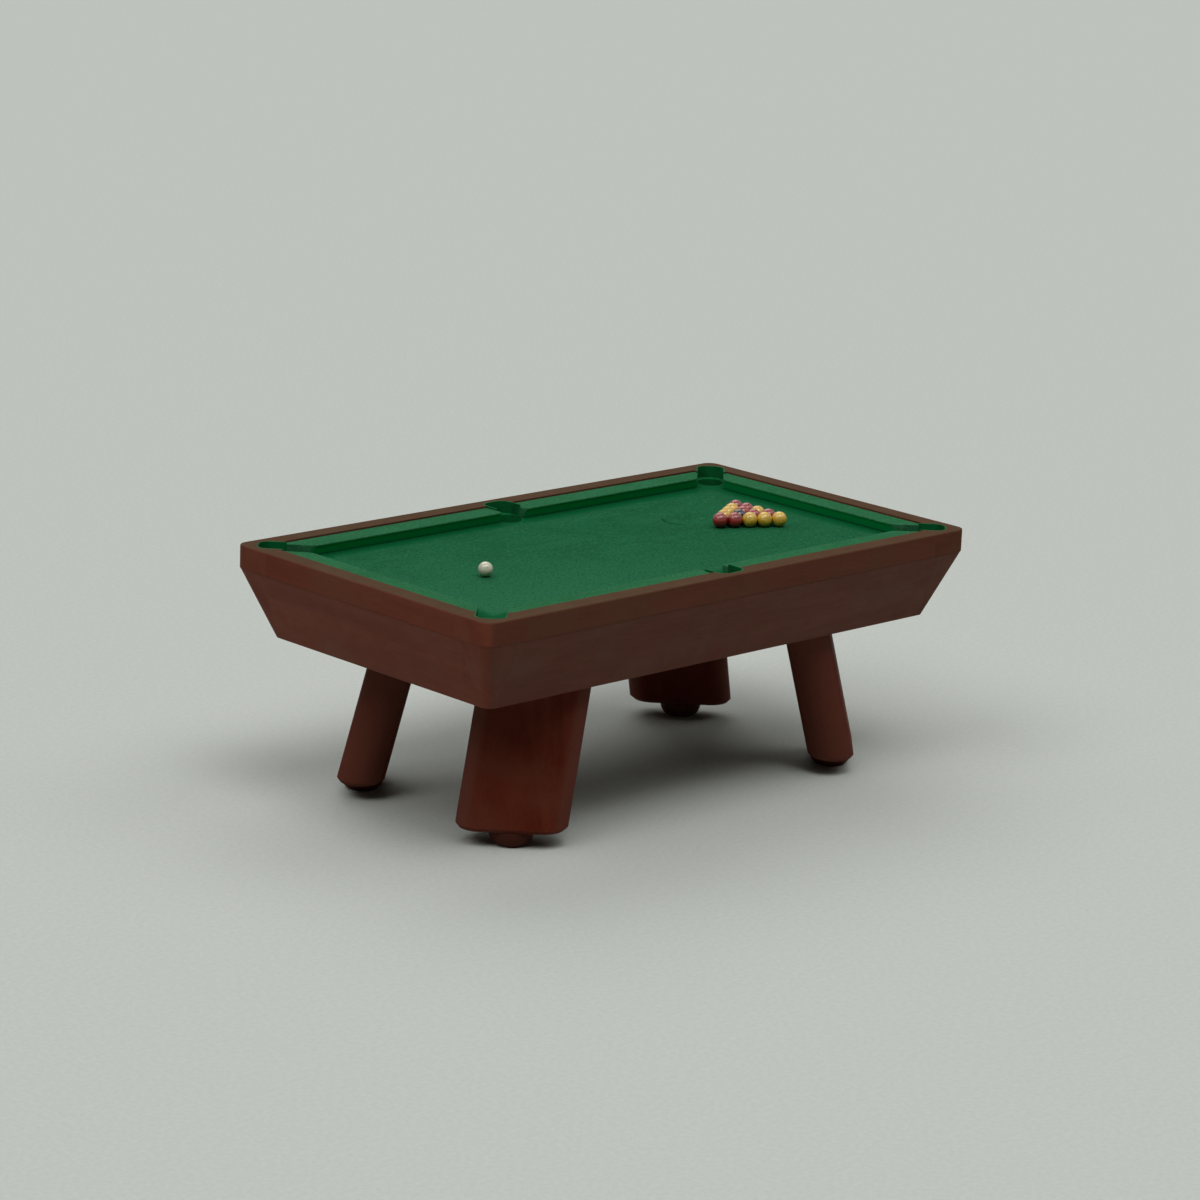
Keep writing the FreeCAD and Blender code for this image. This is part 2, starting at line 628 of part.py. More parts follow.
def apron_outline(z, inward):
    """Outline of the cabinet at a height, moved inwards by a wall."""
    share = (RAIL_BOTTOM - z) / APRON_DEPTH
    upper_radius = RAIL_CORNER_RADIUS - APRON_STEP
    radius = upper_radius + (APRON_LOWER_RADIUS - upper_radius) * share - inward
    back = APRON_STEP + APRON_INSET * share + inward
    return rounded_rectangle(HALF_LENGTH - back, HALF_WIDTH - back, radius, z)


def apron_hollow():
    """Space inside the cabinet walls, running past both edges."""
    z_ends = (APRON_BOTTOM - OVERRUN, RAIL_BOTTOM + OVERRUN)
    return Part.makeLoft([apron_outline(z, APRON_WALL) for z in z_ends], True, True)


def make_cabinet():
    """Four tapered aprons, four rounded corners, and the blocks that hold the aprons off the frame."""
    hollow = apron_hollow()
    shell = Part.makeLoft([apron_outline(z, 0) for z in (APRON_BOTTOM, RAIL_BOTTOM)], True, True)
    shell = shell.cut(hollow)
    z_ends = (APRON_BOTTOM - OVERRUN, RAIL_BOTTOM + OVERRUN)
    seam_x = HALF_LENGTH - APRON_SEAM
    seam_y = HALF_WIDTH - APRON_SEAM
    block_bottom = FRAME_BOTTOM + APRON_BLOCK_LIFT
    block_z = (block_bottom, block_bottom + APRON_BLOCK_HEIGHT)
    half = APRON_BLOCK_LENGTH / 2
    nodes = {"apron_corners": [], "apron_blocks": []}
    for side, sign_y in SIDES.items():
        zone = block((-seam_x, seam_x), (sign_y * seam_y, sign_y * HALF_WIDTH), z_ends)
        nodes[f"apron_{side}"] = [shell.common(zone)]
        for x in (-SIDE_BLOCK_SHARE * HALF_LENGTH, SIDE_BLOCK_SHARE * HALF_LENGTH):
            spacer = block((x - half, x + half), (sign_y * FRAME_Y, sign_y * HALF_WIDTH), block_z)
            nodes["apron_blocks"].append(spacer.common(hollow))
    for end, sign_x in ENDS.items():
        zone = block((sign_x * seam_x, sign_x * HALF_LENGTH), (-seam_y, seam_y), z_ends)
        nodes[f"apron_{end}"] = [shell.common(zone)]
        for y in (-END_BLOCK_SHARE * HALF_WIDTH, END_BLOCK_SHARE * HALF_WIDTH):
            spacer = block((sign_x * FRAME_X, sign_x * HALF_LENGTH), (y - half, y + half), block_z)
            nodes["apron_blocks"].append(spacer.common(hollow))
    cup_spaces = at_places(cup_body(CORNER_POCKET, LINER_WALL + APRON_CUP_CLEARANCE), corner_places())
    for name, sign_x, sign_y in corners():
        x_ends = (sign_x * seam_x, sign_x * HALF_LENGTH)
        zone = block(x_ends, (sign_y * seam_y, sign_y * HALF_WIDTH), z_ends)
        nodes["apron_corners"].append(cut_all(shell.common(zone), cup_spaces))
    return nodes


def rail_ring():
    """The whole rail before it is sawn apart: cap, corner blocks, and sub-rails under the cushions."""
    outline = rounded_rectangle(HALF_LENGTH, HALF_WIDTH, RAIL_CORNER_RADIUS, RAIL_BOTTOM)
    slab = Part.Face(outline).extrude(UP * RAIL_FACE)
    slab = slab.makeFillet(RAIL_EDGE_RADIUS, level_edges(slab, RAIL_TOP))
    slab = slab.makeChamfer(RAIL_LIP_CHAMFER, level_edges(slab, RAIL_BOTTOM))
    z_ends = (RAIL_BOTTOM - OVERRUN, RAIL_TOP + OVERRUN)
    ring = slab.cut(block((-CAP_LINE_X, CAP_LINE_X), (-CAP_LINE_Y, CAP_LINE_Y), z_ends))
    back = CUSHION_WIDTH + SUB_RAIL_TENON
    section = [
        (RUBBER_DEPTH, BED_HEIGHT),
        (back, BED_HEIGHT),
        (back, cushion_top(CUSHION_WIDTH) - COVER_THICKNESS),
        (CUSHION_WIDTH, cushion_top(CUSHION_WIDTH) - COVER_THICKNESS),
        (RUBBER_DEPTH, cushion_top(RUBBER_DEPTH) - COVER_THICKNESS),
    ]
    for side in ("long", "end"):
        for sign in (-1, 1):
            points = [rail_point(side, sign, setback, z) for setback, z in section]
            ring = ring.fuse(prism(points, rail_run(side)))
    block_z = (BED_HEIGHT, RAIL_TOP)
    for name, sign_x, sign_y in corners():
        x_ends = (sign_x * HALF_PLAY_X, sign_x * (CAP_LINE_X + SUB_RAIL_TENON))
        y_ends = (sign_y * HALF_PLAY_Y, sign_y * (CAP_LINE_Y + SUB_RAIL_TENON))
        ring = ring.fuse(block(x_ends, y_ends, block_z))
    return ring.removeSplitter()


def rail_body():
    """The rail ring cut for the pockets and for the facings of the cushions at the corner pockets."""
    facing_space = mouth(CORNER_POCKET, COVER_THICKNESS, (POCKET_RIM, RAIL_TOP + OVERRUN))
    return cut_all(rail_ring(), all_throats() + at_places(facing_space, corner_places()))


def make_rails(body):
    """Four straight rails and four rounded corners, sawn from the rail and drilled for the bolts."""
    ring = cut_all(body, rail_bolt_holes())
    z_ends = (RAIL_BOTTOM - OVERRUN, RAIL_TOP + OVERRUN)
    nodes = {"rail_corners": []}
    for side, sign_y in SIDES.items():
        zone = block((-RAIL_SEAM_X, RAIL_SEAM_X), (sign_y * RAIL_SEAM_Y, sign_y * HALF_WIDTH), z_ends)
        nodes[f"rail_{side}"] = [ring.common(zone)]
    for end, sign_x in ENDS.items():
        zone = block((sign_x * RAIL_SEAM_X, sign_x * HALF_LENGTH), (-RAIL_SEAM_Y, RAIL_SEAM_Y), z_ends)
        nodes[f"rail_{end}"] = [ring.common(zone)]
    for name, sign_x, sign_y in corners():
        x_ends = (sign_x * RAIL_SEAM_X, sign_x * HALF_LENGTH)
        zone = block(x_ends, (sign_y * RAIL_SEAM_Y, sign_y * HALF_WIDTH), z_ends)
        nodes["rail_corners"].append(ring.common(zone))
    nodes["rail_bolts"] = []
    for point in rail_bolt_points():
        nodes["rail_bolts"].append(bolt(point, UP, RAIL_BOLT_RADIUS, RAIL_BOLT_HEAD_RADIUS,
                                        RAIL_BOLT_HEAD_HEIGHT, RAIL_BOLT_LENGTH))
    return nodes


def cushion_strip(side, sign):
    """One side's cushion before rail and pockets are cut from it, with a rounded nose and undercut face."""
    nose_height = BED_HEIGHT + NOSE_HEIGHT
    heel_height = BED_HEIGHT + RUBBER_HEEL_LIFT
    under_height = 2 * nose_height - cushion_top(NOSE_ROUND)
    section = [
        (NOSE_ROUND, under_height),
        (RUBBER_HEEL, heel_height),
        (CUSHION_WIDTH, heel_height),
        (CUSHION_WIDTH, cushion_top(CUSHION_WIDTH)),
        (NOSE_ROUND, cushion_top(NOSE_ROUND)),
    ]
    points = [rail_point(side, sign, setback, z) for setback, z in section]
    nose = rail_point(side, sign, 0, nose_height)
    edges = lines(points)
    edges.append(Part.Arc(points[-1], nose, points[0]).toShape())
    return Part.Face(Part.Wire(edges)).extrude(rail_run(side))


def make_cushions(body):
    """Six cushions: two on each long side, parted by the side pocket, and one at each end."""
    nodes = {}
    tools = all_throats() + [body]
    for side, sign_y in SIDES.items():
        strip = cut_all(cushion_strip("long", sign_y), tools)
        for piece in strip.Solids:
            end = "rack" if piece.CenterOfMass.x > 0 else "baulk"
            nodes[f"cushion_{side}_{end}"] = [piece]
    for end, sign_x in ENDS.items():
        nodes[f"cushion_{end}"] = [cut_all(cushion_strip("end", sign_x), tools)]
    return nodes


def cup_body(pocket, wall):
    """Solid cup on the Z axis, grown by a wall: a straight neck, a rounded taper and a flat floor."""
    neck = BED_HEIGHT - POCKET_NECK_DEPTH
    bottom = BED_HEIGHT - POCKET_DEPTH - wall
    bend_radius = (pocket.radius + pocket.floor_radius) / 2 + POCKET_BULGE
    bend = FreeCAD.Vector(bend_radius + wall, 0, (neck + bottom) / 2)
    top_edge = FreeCAD.Vector(pocket.radius + wall, 0, POCKET_RIM)
    neck_edge = FreeCAD.Vector(pocket.radius + wall, 0, neck)
    floor_edge = FreeCAD.Vector(pocket.floor_radius + wall, 0, bottom)
    edges = lines([top_edge, neck_edge])
    edges.append(Part.Arc(neck_edge, bend, floor_edge).toShape())
    edges += lines([floor_edge, FreeCAD.Vector(0, 0, bottom), FreeCAD.Vector(0, 0, POCKET_RIM), top_edge])
    return turned(edges)


def make_cup(pocket):
    """Moulded cup that hangs in the slate and catches the balls."""
    return cup_body(pocket, LINER_WALL).cut(cup_body(pocket, 0))


def make_lining(pocket):
    """Lining of a notch: a ledge on the rim of the cup, and an upright wall round it up to the rail's top."""
    lining = notch(pocket, LINER_WALL, (POCKET_RIM, RAIL_TOP))
    lining = lining.cut(notch(pocket, 0, (POCKET_RIM + LINER_WALL, RAIL_TOP + OVERRUN)))
    return lining.cut(post(pocket.radius, 0, 0, (POCKET_RIM - OVERRUN, RAIL_TOP + OVERRUN)))


def make_pockets():
    """Cups and linings of the four corner pockets and the two side pockets."""
    nodes = {}
    for name, pocket, places in (("corner_pockets", CORNER_POCKET, list(corner_places())),
                                 ("side_pockets", SIDE_POCKET, list(side_places()))):
        nodes[name] = at_places(make_cup(pocket), places) + at_places(make_lining(pocket), places)
    return nodes


def make_balls():
    """Cue ball on the baulk side, and fifteen object balls racked with the apex towards it."""
    cue_radius = CUE_BALL_DIAMETER / 2
    cue_x = CUE_BALL_FROM_NOSE - HALF_PLAY_X
    cue_centre = FreeCAD.Vector(cue_x, -CUE_BALL_OFFSET, BED_HEIGHT + BALL_GAP + cue_radius)
    nodes = {"cue_ball": [Part.makeSphere(cue_radius, cue_centre)]}
    radius = BALL_DIAMETER / 2
    pitch = BALL_DIAMETER + BALL_GAP
    row_pitch = pitch * math.sqrt(3) / 2
    counts = {"r": 0, "y": 0}
    for row, colours in enumerate(RACK_ROWS):
        for place, colour in enumerate(colours):
            x = HALF_PLAY_X - RACK_APEX_FROM_NOSE + row * row_pitch
            y = pitch * (row / 2 - place)
            ball = Part.makeSphere(radius, FreeCAD.Vector(x, y, BED_HEIGHT + BALL_GAP + radius))
            if colour == "k":
                nodes["ball_black"] = [ball]
                continue
            counts[colour] += 1
            tint = "red" if colour == "r" else "yellow"
            nodes[f"ball_{tint}_{counts[colour]}"] = [ball]
    return nodes


def main():
    """Build every node and write one file for each."""
    os.makedirs("parts", exist_ok=True)
    nodes = {}
    for maker in (make_bed, make_frame, make_legs, make_cabinet, make_pockets, make_balls):
        nodes.update(maker())
    body = rail_body()
    nodes.update(make_rails(body))
    nodes.update(make_cushions(body))
    for name, shapes in nodes.items():
        solids = [solid for shape in shapes for solid in shape.Solids]
        shape = solids[0] if len(solids) == 1 else Part.makeCompound(solids)
        shape.exportStep(f"parts/{name}.step")
        state = "valid" if shape.isValid() else "INVALID"
        print(name, len(solids), "solids", round(shape.Volume), "mm3", state)
    print(len(nodes), "nodes")


main()
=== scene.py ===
"""Bar-size pool table, dressed: bed cloth, cushions, materials, light and camera. Lengths in metres."""
import math
from collections import namedtuple

import bmesh
import bpy
from mathutils import Matrix, Vector
from mathutils.geometry import delaunay_2d_cdt


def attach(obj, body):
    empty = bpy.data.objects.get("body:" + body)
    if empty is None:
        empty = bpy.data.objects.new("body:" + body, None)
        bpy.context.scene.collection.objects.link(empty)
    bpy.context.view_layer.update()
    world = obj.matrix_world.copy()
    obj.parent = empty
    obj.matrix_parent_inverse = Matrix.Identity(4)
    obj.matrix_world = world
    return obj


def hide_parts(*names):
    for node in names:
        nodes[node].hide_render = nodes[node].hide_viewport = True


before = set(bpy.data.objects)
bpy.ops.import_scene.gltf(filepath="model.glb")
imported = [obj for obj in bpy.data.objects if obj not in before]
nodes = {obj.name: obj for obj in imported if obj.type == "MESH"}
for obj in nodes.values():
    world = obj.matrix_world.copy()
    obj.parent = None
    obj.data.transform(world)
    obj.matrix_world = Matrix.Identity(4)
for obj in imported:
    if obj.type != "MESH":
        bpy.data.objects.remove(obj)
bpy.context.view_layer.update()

# Shared by the pieces below.
ROOT_TWO = math.sqrt(2.0)
HAIRLINE = 0.0001
MERGE_DISTANCE = 1e-6
SLIVER_LENGTH = 1e-7

# Field of play, and the slate that the cloth covers. The cloth's area is what the pockets leave of it.
HALF_PLAY_X = 0.915
HALF_PLAY_Y = 0.4575
BED_MARGIN = 0.070
HALF_BED_X = HALF_PLAY_X + BED_MARGIN
HALF_BED_Y = HALF_PLAY_Y + BED_MARGIN
BED_TOP = 0.764
CLOTH_THICKNESS = 0.001
CLOTH_GRID = 0.035
INSIDE_WITHOUT_HOLES = 4

# Darker curved mark on the cloth: part of a ring, on the side away from the rack.
DARK_MARK_MIDDLE = (0.4848, 0.1456, BED_TOP)
DARK_MARK_RADIUS = 0.0724
DARK_MARK_CORE = 0.0025
DARK_MARK_REACH = 0.0090
DARK_MARK_END = 0.436
DARK_MARK_END_BLUR = 0.010

# Section of a cushion: a half-round nose, a face that slopes back to the heel, and a cover over the rail.
CUSHION_WIDTH = 0.080
CUSHION_TOP_NOSE = 0.799
CUSHION_TOP_BACK = 0.800
NOSE_HEIGHT = 0.796
NOSE_RADIUS = 0.003
NOSE_STEPS = 5
HEEL = 0.014
HEEL_HEIGHT = 0.765
RUBBER_DEPTH = 0.032
COVER = 0.004
CUSHION_DIVISIONS = 40
SHARP_DEGREES = 40.0

# Ends of a cushion: a rubber facing, and the cloth's round as pairs of distance in and drop from the top.
FACING = 0.0056
END_ROUND = ((0.0, 0.0022), (0.0006, 0.0011), (0.0018, 0.0004), (0.0042, 0.0), (FACING, 0.0),
             (FACING + HAIRLINE, 0.0))
FULL_ROUND_DEPTH = 0.012

# Pockets. Each hole and notch is given with its lining. The lead is how far a corner notch starts before the
# middle of its hole.
LINING = 0.0043
CORNER_MOUTH = 0.090
CORNER_JAW = 0.045
CORNER_OFFSET = 0.040
CORNER_HOLE = 0.044 + LINING
CORNER_NOTCH_HALF = CORNER_MOUTH / 2 + LINING
CORNER_LEAD = 0.01157
CORNER_NOTCH_DEGREES = 225.0
HALF_JAW_DEGREES = 67.5
SIDE_MOUTH = 0.100
SIDE_JAW = 0.016
SIDE_OFFSET = 0.033
SIDE_HOLE = 0.048 + LINING
SIDE_NOTCH_HALF = SIDE_MOUTH / 2 + LINING
ARC_STEPS = 24

# Corner jaws: how far the round reaches along the nose, the setback where it ends, the setback where the
# notch's side comes level with the corner of play, and the lining's thickness measured along the rail.
JAW_REACH = CORNER_JAW / math.tan(math.radians(HALF_JAW_DEGREES))
JAW_TURN = JAW_REACH / ROOT_TWO
NOTCH_TIP = CORNER_MOUTH / ROOT_TWO
LINING_SPAN = LINING * ROOT_TWO

# Setbacks from the nose at which a cushion's section is taken. They lie closer where the rubber ends, and
# where a corner notch's side and lining reach the corner of play.
SETBACKS = (0.005, 0.008, 0.011, 0.01318, HEEL, 0.020, 0.026, RUBBER_DEPTH - HAIRLINE,
            RUBBER_DEPTH + HAIRLINE, 0.042, 0.053, 0.0635, 0.0637, 0.0667, 0.0697, 0.075, CUSHION_WIDTH)

# Bolt holes through the cloth, under the cushions.
BOLT_SETBACK = 0.056
BOLT_HOLE = 0.0053
BOLT_HOLE_SIDES = 12
BOLT_SIDE_SHARES = (-0.81, -0.50, -0.17, 0.17, 0.50, 0.81)
BOLT_END_SHARES = (-0.55, 0.0, 0.55)

# Timber. Waves are counts in a metre, along and across the grain, or along each axis.
Stain = namedtuple("Stain", "deep even pale patchy")
RAIL_STAIN = Stain((0.086, 0.029, 0.018), (0.105, 0.037, 0.023),
                   (0.135, 0.066, 0.045), (0.094, 0.042, 0.026))
SIDE_STAIN = Stain((0.100, 0.034, 0.022), (0.122, 0.043, 0.028),
                   (0.138, 0.067, 0.046), (0.106, 0.048, 0.031))
# Lighter, redder copy of the stain for faces that look along the table: painted light.
LIT_END_STAIN = Stain((0.122, 0.033, 0.020), (0.147, 0.041, 0.024),
                  (0.158, 0.068, 0.045), (0.130, 0.046, 0.028))
LEG_STAIN = Stain((0.082, 0.014, 0.007), (0.102, 0.020, 0.0105),
                  (0.135, 0.042, 0.028), (0.102, 0.028, 0.016))
FOOT_STAIN = Stain((0.050, 0.014, 0.009), (0.078, 0.021, 0.013),
                   (0.095, 0.034, 0.024), (0.056, 0.016, 0.010))
PINE_STAIN = Stain((0.240, 0.140, 0.070), (0.400, 0.260, 0.140),
                   (0.500, 0.350, 0.210), (0.350, 0.220, 0.120))
HANDLED_TOP = (0.075, 0.042, 0.022)
# Lighter tone on the legs' narrow sides: painted light.
LEG_SIDE_LIGHT = (0.108, 0.035, 0.023)
OILED_GLOSS = 0.06
LEG_GLOSS = 0.02
HANDLED_GLOSS = 0.01
FIGURE_WAVES = (0.9, 9.0)
FIBRE_WAVES = (5.0, 150.0)
PORE_WAVES = (14.0, 420.0)
CLOUD_WAVES = (3.4, 3.4, 4.4)
BLOTCH_WAVES = (11.0, 11.0, 14.0)
EASED_EDGE = 0.004
PORE_SHARE = 0.55

# Cloth. edge is painted shade along the noses of the cushions, face painted light on undercut sides.
# worn serves both for flecks of wear and, on the bed, for painted light toward the baulk end's right-hand
# corner.
Cloth = namedtuple("Cloth", "deep middle bright worn edge face")
# The bed's edge tone is the darker green of the painted shade along the cushions.
BED_CLOTH = Cloth((0.007, 0.080, 0.031), (0.011, 0.102, 0.042), (0.017, 0.126, 0.055),
                  (0.026, 0.142, 0.064), (0.0, 0.072, 0.020), None)
# The cushions' face tone is painted light: a bright green that lightens the undercut sides of the cushions.
CUSHION_CLOTH = Cloth((0.017, 0.114, 0.044), (0.025, 0.138, 0.057), (0.033, 0.158, 0.069),
                      (0.052, 0.142, 0.076), None, (0.0, 0.400, 0.100))
BRUSHED_WAVES = (4.0, 16.0, 16.0)
CLOTH_CLOUDS = 5.0
THREADS = 260.0
NAP = 420.0
FLECKS = 75.0
SPECKS = 110.0
SPECK_SHIFT = (7.3, 2.9, 0.0)
SPECK_SHARE = 0.55
DARK_MARK_SHARE = 0.45

# Balls, pockets, slate and steel: the deep and the bright tone of each.
RED_RESIN = ((0.20, 0.012, 0.010), (0.36, 0.025, 0.018))
YELLOW_RESIN = ((0.52, 0.30, 0.020), (0.70, 0.44, 0.045))
BLACK_RESIN = ((0.003, 0.003, 0.003), (0.007, 0.007, 0.008))
WHITE_RESIN = ((0.49, 0.47, 0.335), (0.645, 0.635, 0.475))
CHALK = (0.28, 0.34, 0.36)
POCKET_RUBBER = ((0.0, 0.075, 0.018), (0.001, 0.120, 0.030))
POLISHED_RUBBER = (0.004, 0.125, 0.040)
SLATE = ((0.035, 0.038, 0.042), (0.085, 0.090, 0.096))
PLATED_STEEL = ((0.32, 0.32, 0.33), (0.58, 0.58, 0.57))

# Floor and the world beyond it.
FLOOR_HALF = 400.0
PAPER_TONES = ((0.500, 0.524, 0.488), (0.535, 0.560, 0.522))
BACKDROP_TONE = (0.515, 0.545, 0.510, 1.0)
AMBIENT_TONE = (0.98, 1.0, 0.99, 1.0)
AMBIENT_SHARE = 0.04

# Soft lights from far off: tilt from overhead and turn from +X, in degrees, share of the floor's light, and
# spread in degrees.
LIGHTS = {
    "front_light": (20.0, 240.0, 0.267, 32.0),
    "front_right_light": (30.0, 270.0, 0.135, 32.0),
    "right_light": (40.0, 330.0, 0.094, 36.0),
    "back_light": (40.0, 60.0, 0.202, 45.0),
    "back_left_light": (40.0, 120.0, 0.066, 36.0),
    "left_light": (40.0, 180.0, 0.197, 32.0),
}

# Camera: place, yaw from +X, pitch and roll in degrees, lens and film in millimetres, and how far it sees.
CAMERA_PLACE = (-8.38229, -8.68849, 3.73152)
CAMERA_YAW = 46.1381
CAMERA_PITCH = -14.5826
CAMERA_ROLL = 2.2767
CAMERA_LENS = 115.395
CAMERA_FILM = 36.0
CAMERA_REACH = 2000.0


class Paint:
    """Node tree of one material, built from small steps that each give back a socket."""

    BEVEL_SAMPLES = 6
    THREAD_WAVER = 0.6
    FLAT_MATCH = 0.995
    EDGE_MATCH = 0.90

    def __init__(self, name):
        self.material = bpy.data.materials.new(name)
        self.material.use_nodes = True
        self.tree = self.material.node_tree
        self.tree.nodes.clear()
        output = self.tree.nodes.new("ShaderNodeOutputMaterial")
        self.shader = self.tree.nodes.new("ShaderNodeBsdfPrincipled")
        self.tree.links.new(self.shader.outputs["BSDF"], output.inputs["Surface"])

    def feed(self, socket, value):
        """Links a socket to another one, or sets it to a plain value."""
        if isinstance(value, bpy.types.NodeSocket):
            self.tree.links.new(value, socket)
        elif isinstance(value, tuple) and len(value) == 3 and socket.type == "RGBA":
            socket.default_value = (*value, 1.0)
        else:
            socket.default_value = value

    def coordinates(self, kind):
        """Position on the object, or the direction that a face looks in."""
        return self.tree.nodes.new("ShaderNodeTexCoord").outputs[kind]

    def part(self, vector, name):
        """One coordinate of a vector."""
        split = self.tree.nodes.new("ShaderNodeSeparateXYZ")
        self.tree.links.new(vector, split.inputs["Vector"])
        return split.outputs[name]

    def axis(self, name):
        """One coordinate of the position on the object."""
        return self.part(self.coordinates("Object"), name)

    def facing(self, name):
        """One coordinate of the direction that a face looks in."""
        return self.part(self.coordinates("Normal"), name)

    def place(self, scale=(1.0, 1.0, 1.0), shift=(0.0, 0.0, 0.0)):
        """Position on the object, stretched and shifted."""
        mapping = self.tree.nodes.new("ShaderNodeMapping")
        mapping.inputs["Scale"].default_value = scale
        mapping.inputs["Location"].default_value = shift
        self.tree.links.new(self.coordinates("Object"), mapping.inputs["Vector"])
        return mapping.outputs["Vector"]

    def distance(self, point):
        """Distance from a point on the object."""
        node = self.tree.nodes.new("ShaderNodeVectorMath")
        node.operation = "DISTANCE"
        self.tree.links.new(self.coordinates("Object"), node.inputs[0])
        node.inputs[1].default_value = point
        return node.outputs["Value"]

    def noise(self, vector, scale=1.0, detail=3.0, roughness=0.5, distortion=0.0):
        """Soft noise from 0 to 1."""
        node = self.tree.nodes.new("ShaderNodeTexNoise")
        self.tree.links.new(vector, node.inputs["Vector"])
        node.inputs["Scale"].default_value = scale
        node.inputs["Detail"].default_value = detail
        node.inputs["Roughness"].default_value = roughness
        node.inputs["Distortion"].default_value = distortion
        return node.outputs["Fac"]

    def cells(self, vector, scale):
        """Distance to the nearest cell centre."""
        node = self.tree.nodes.new("ShaderNodeTexVoronoi")
        self.tree.links.new(vector, node.inputs["Vector"])
        node.inputs["Scale"].default_value = scale
        return node.outputs["Distance"]

    def bands(self, vector, scale, direction):
        """Slightly wavering bands across one axis, for threads."""
        node = self.tree.nodes.new("ShaderNodeTexWave")
        node.bands_direction = direction
        self.tree.links.new(vector, node.inputs["Vector"])
        node.inputs["Scale"].default_value = scale
        node.inputs["Distortion"].default_value = self.THREAD_WAVER
        return node.outputs["Fac"]

    def fade(self, value, low, high, start=0.0, end=1.0):
        """Smooth step from start to end, as a value goes from low to high."""
        node = self.tree.nodes.new("ShaderNodeMapRange")
        node.interpolation_type = "SMOOTHSTEP"
        self.feed(node.inputs["Value"], value)
        node.inputs["From Min"].default_value = low
        node.inputs["From Max"].default_value = high
        node.inputs["To Min"].default_value = start
        node.inputs["To Max"].default_value = end
        return node.outputs["Result"]

    def combine(self, operation, first, second=0.0):
        """Arithmetic on one or two values."""
        node = self.tree.nodes.new("ShaderNodeMath")
        node.operation = operation
        self.feed(node.inputs[0], first)
        self.feed(node.inputs[1], second)
        return node.outputs["Value"]

    def mix(self, share, first, second):
        """Mix of two colours."""
        node = self.tree.nodes.new("ShaderNodeMix")
        node.data_type = "RGBA"
        self.feed(node.inputs["Factor"], share)
        self.feed(node.inputs[6], first)
        self.feed(node.inputs[7], second)
        return node.outputs[2]

    def bump(self, height, strength, distance, under=None):
        """Small relief, on top of another one if given."""
        node = self.tree.nodes.new("ShaderNodeBump")
        node.inputs["Strength"].default_value = strength
        node.inputs["Distance"].default_value = distance
        self.tree.links.new(height, node.inputs["Height"])
        if under is not None:
            self.tree.links.new(under, node.inputs["Normal"])
        return node.outputs["Normal"]

    def eased(self, radius):
        """Normal that rounds every edge off."""
        bevel = self.tree.nodes.new("ShaderNodeBevel")
        bevel.samples = self.BEVEL_SAMPLES
        bevel.inputs["Radius"].default_value = radius
        return bevel.outputs["Normal"]

    def edges(self, eased):
        """1 on edges that hands and cues rub, 0 on flat faces."""
        face = self.tree.nodes.new("ShaderNodeNewGeometry")
        dot = self.tree.nodes.new("ShaderNodeVectorMath")
        dot.operation = "DOT_PRODUCT"
        self.tree.links.new(eased, dot.inputs[0])
        self.tree.links.new(face.outputs["Normal"], dot.inputs[1])
        return self.fade(dot.outputs["Value"], self.FLAT_MATCH, self.EDGE_MATCH)

    def finish(self, colour, roughness, normal, **constants):
        """Feeds the shader and gives back the material."""
        self.feed(self.shader.inputs["Base Color"], colour)
        self.feed(self.shader.inputs["Roughness"], roughness)
        if normal is not None:
            self.tree.links.new(normal, self.shader.inputs["Normal"])
        for name, value in constants.items():
            self.feed(self.shader.inputs[name.replace("_", " ")], value)
        return self.material


def shaded(tone, share):
    """A tone darkened to a share of itself."""
    return tuple(share * part for part in tone)


def grained(along, waves):
    """Scale that draws noise out along one axis."""
    return tuple(waves[0] if axis == along else waves[1] for axis in "XYZ")


def painted_light_on_slab_sides(paint):
    """How far the painted light of a slab's narrow sides covers the slabs that stand across the corners:
    most of the way on their narrow sides, and not at all on their broad ones."""
    quarter = paint.combine("SIGN", paint.combine("MULTIPLY", paint.axis("X"), paint.axis("Y")))
    turned = paint.combine("MULTIPLY", paint.facing("X"), paint.facing("Y"))
    return paint.fade(paint.combine("MULTIPLY", quarter, turned), 0.44, 0.05, end=0.85)


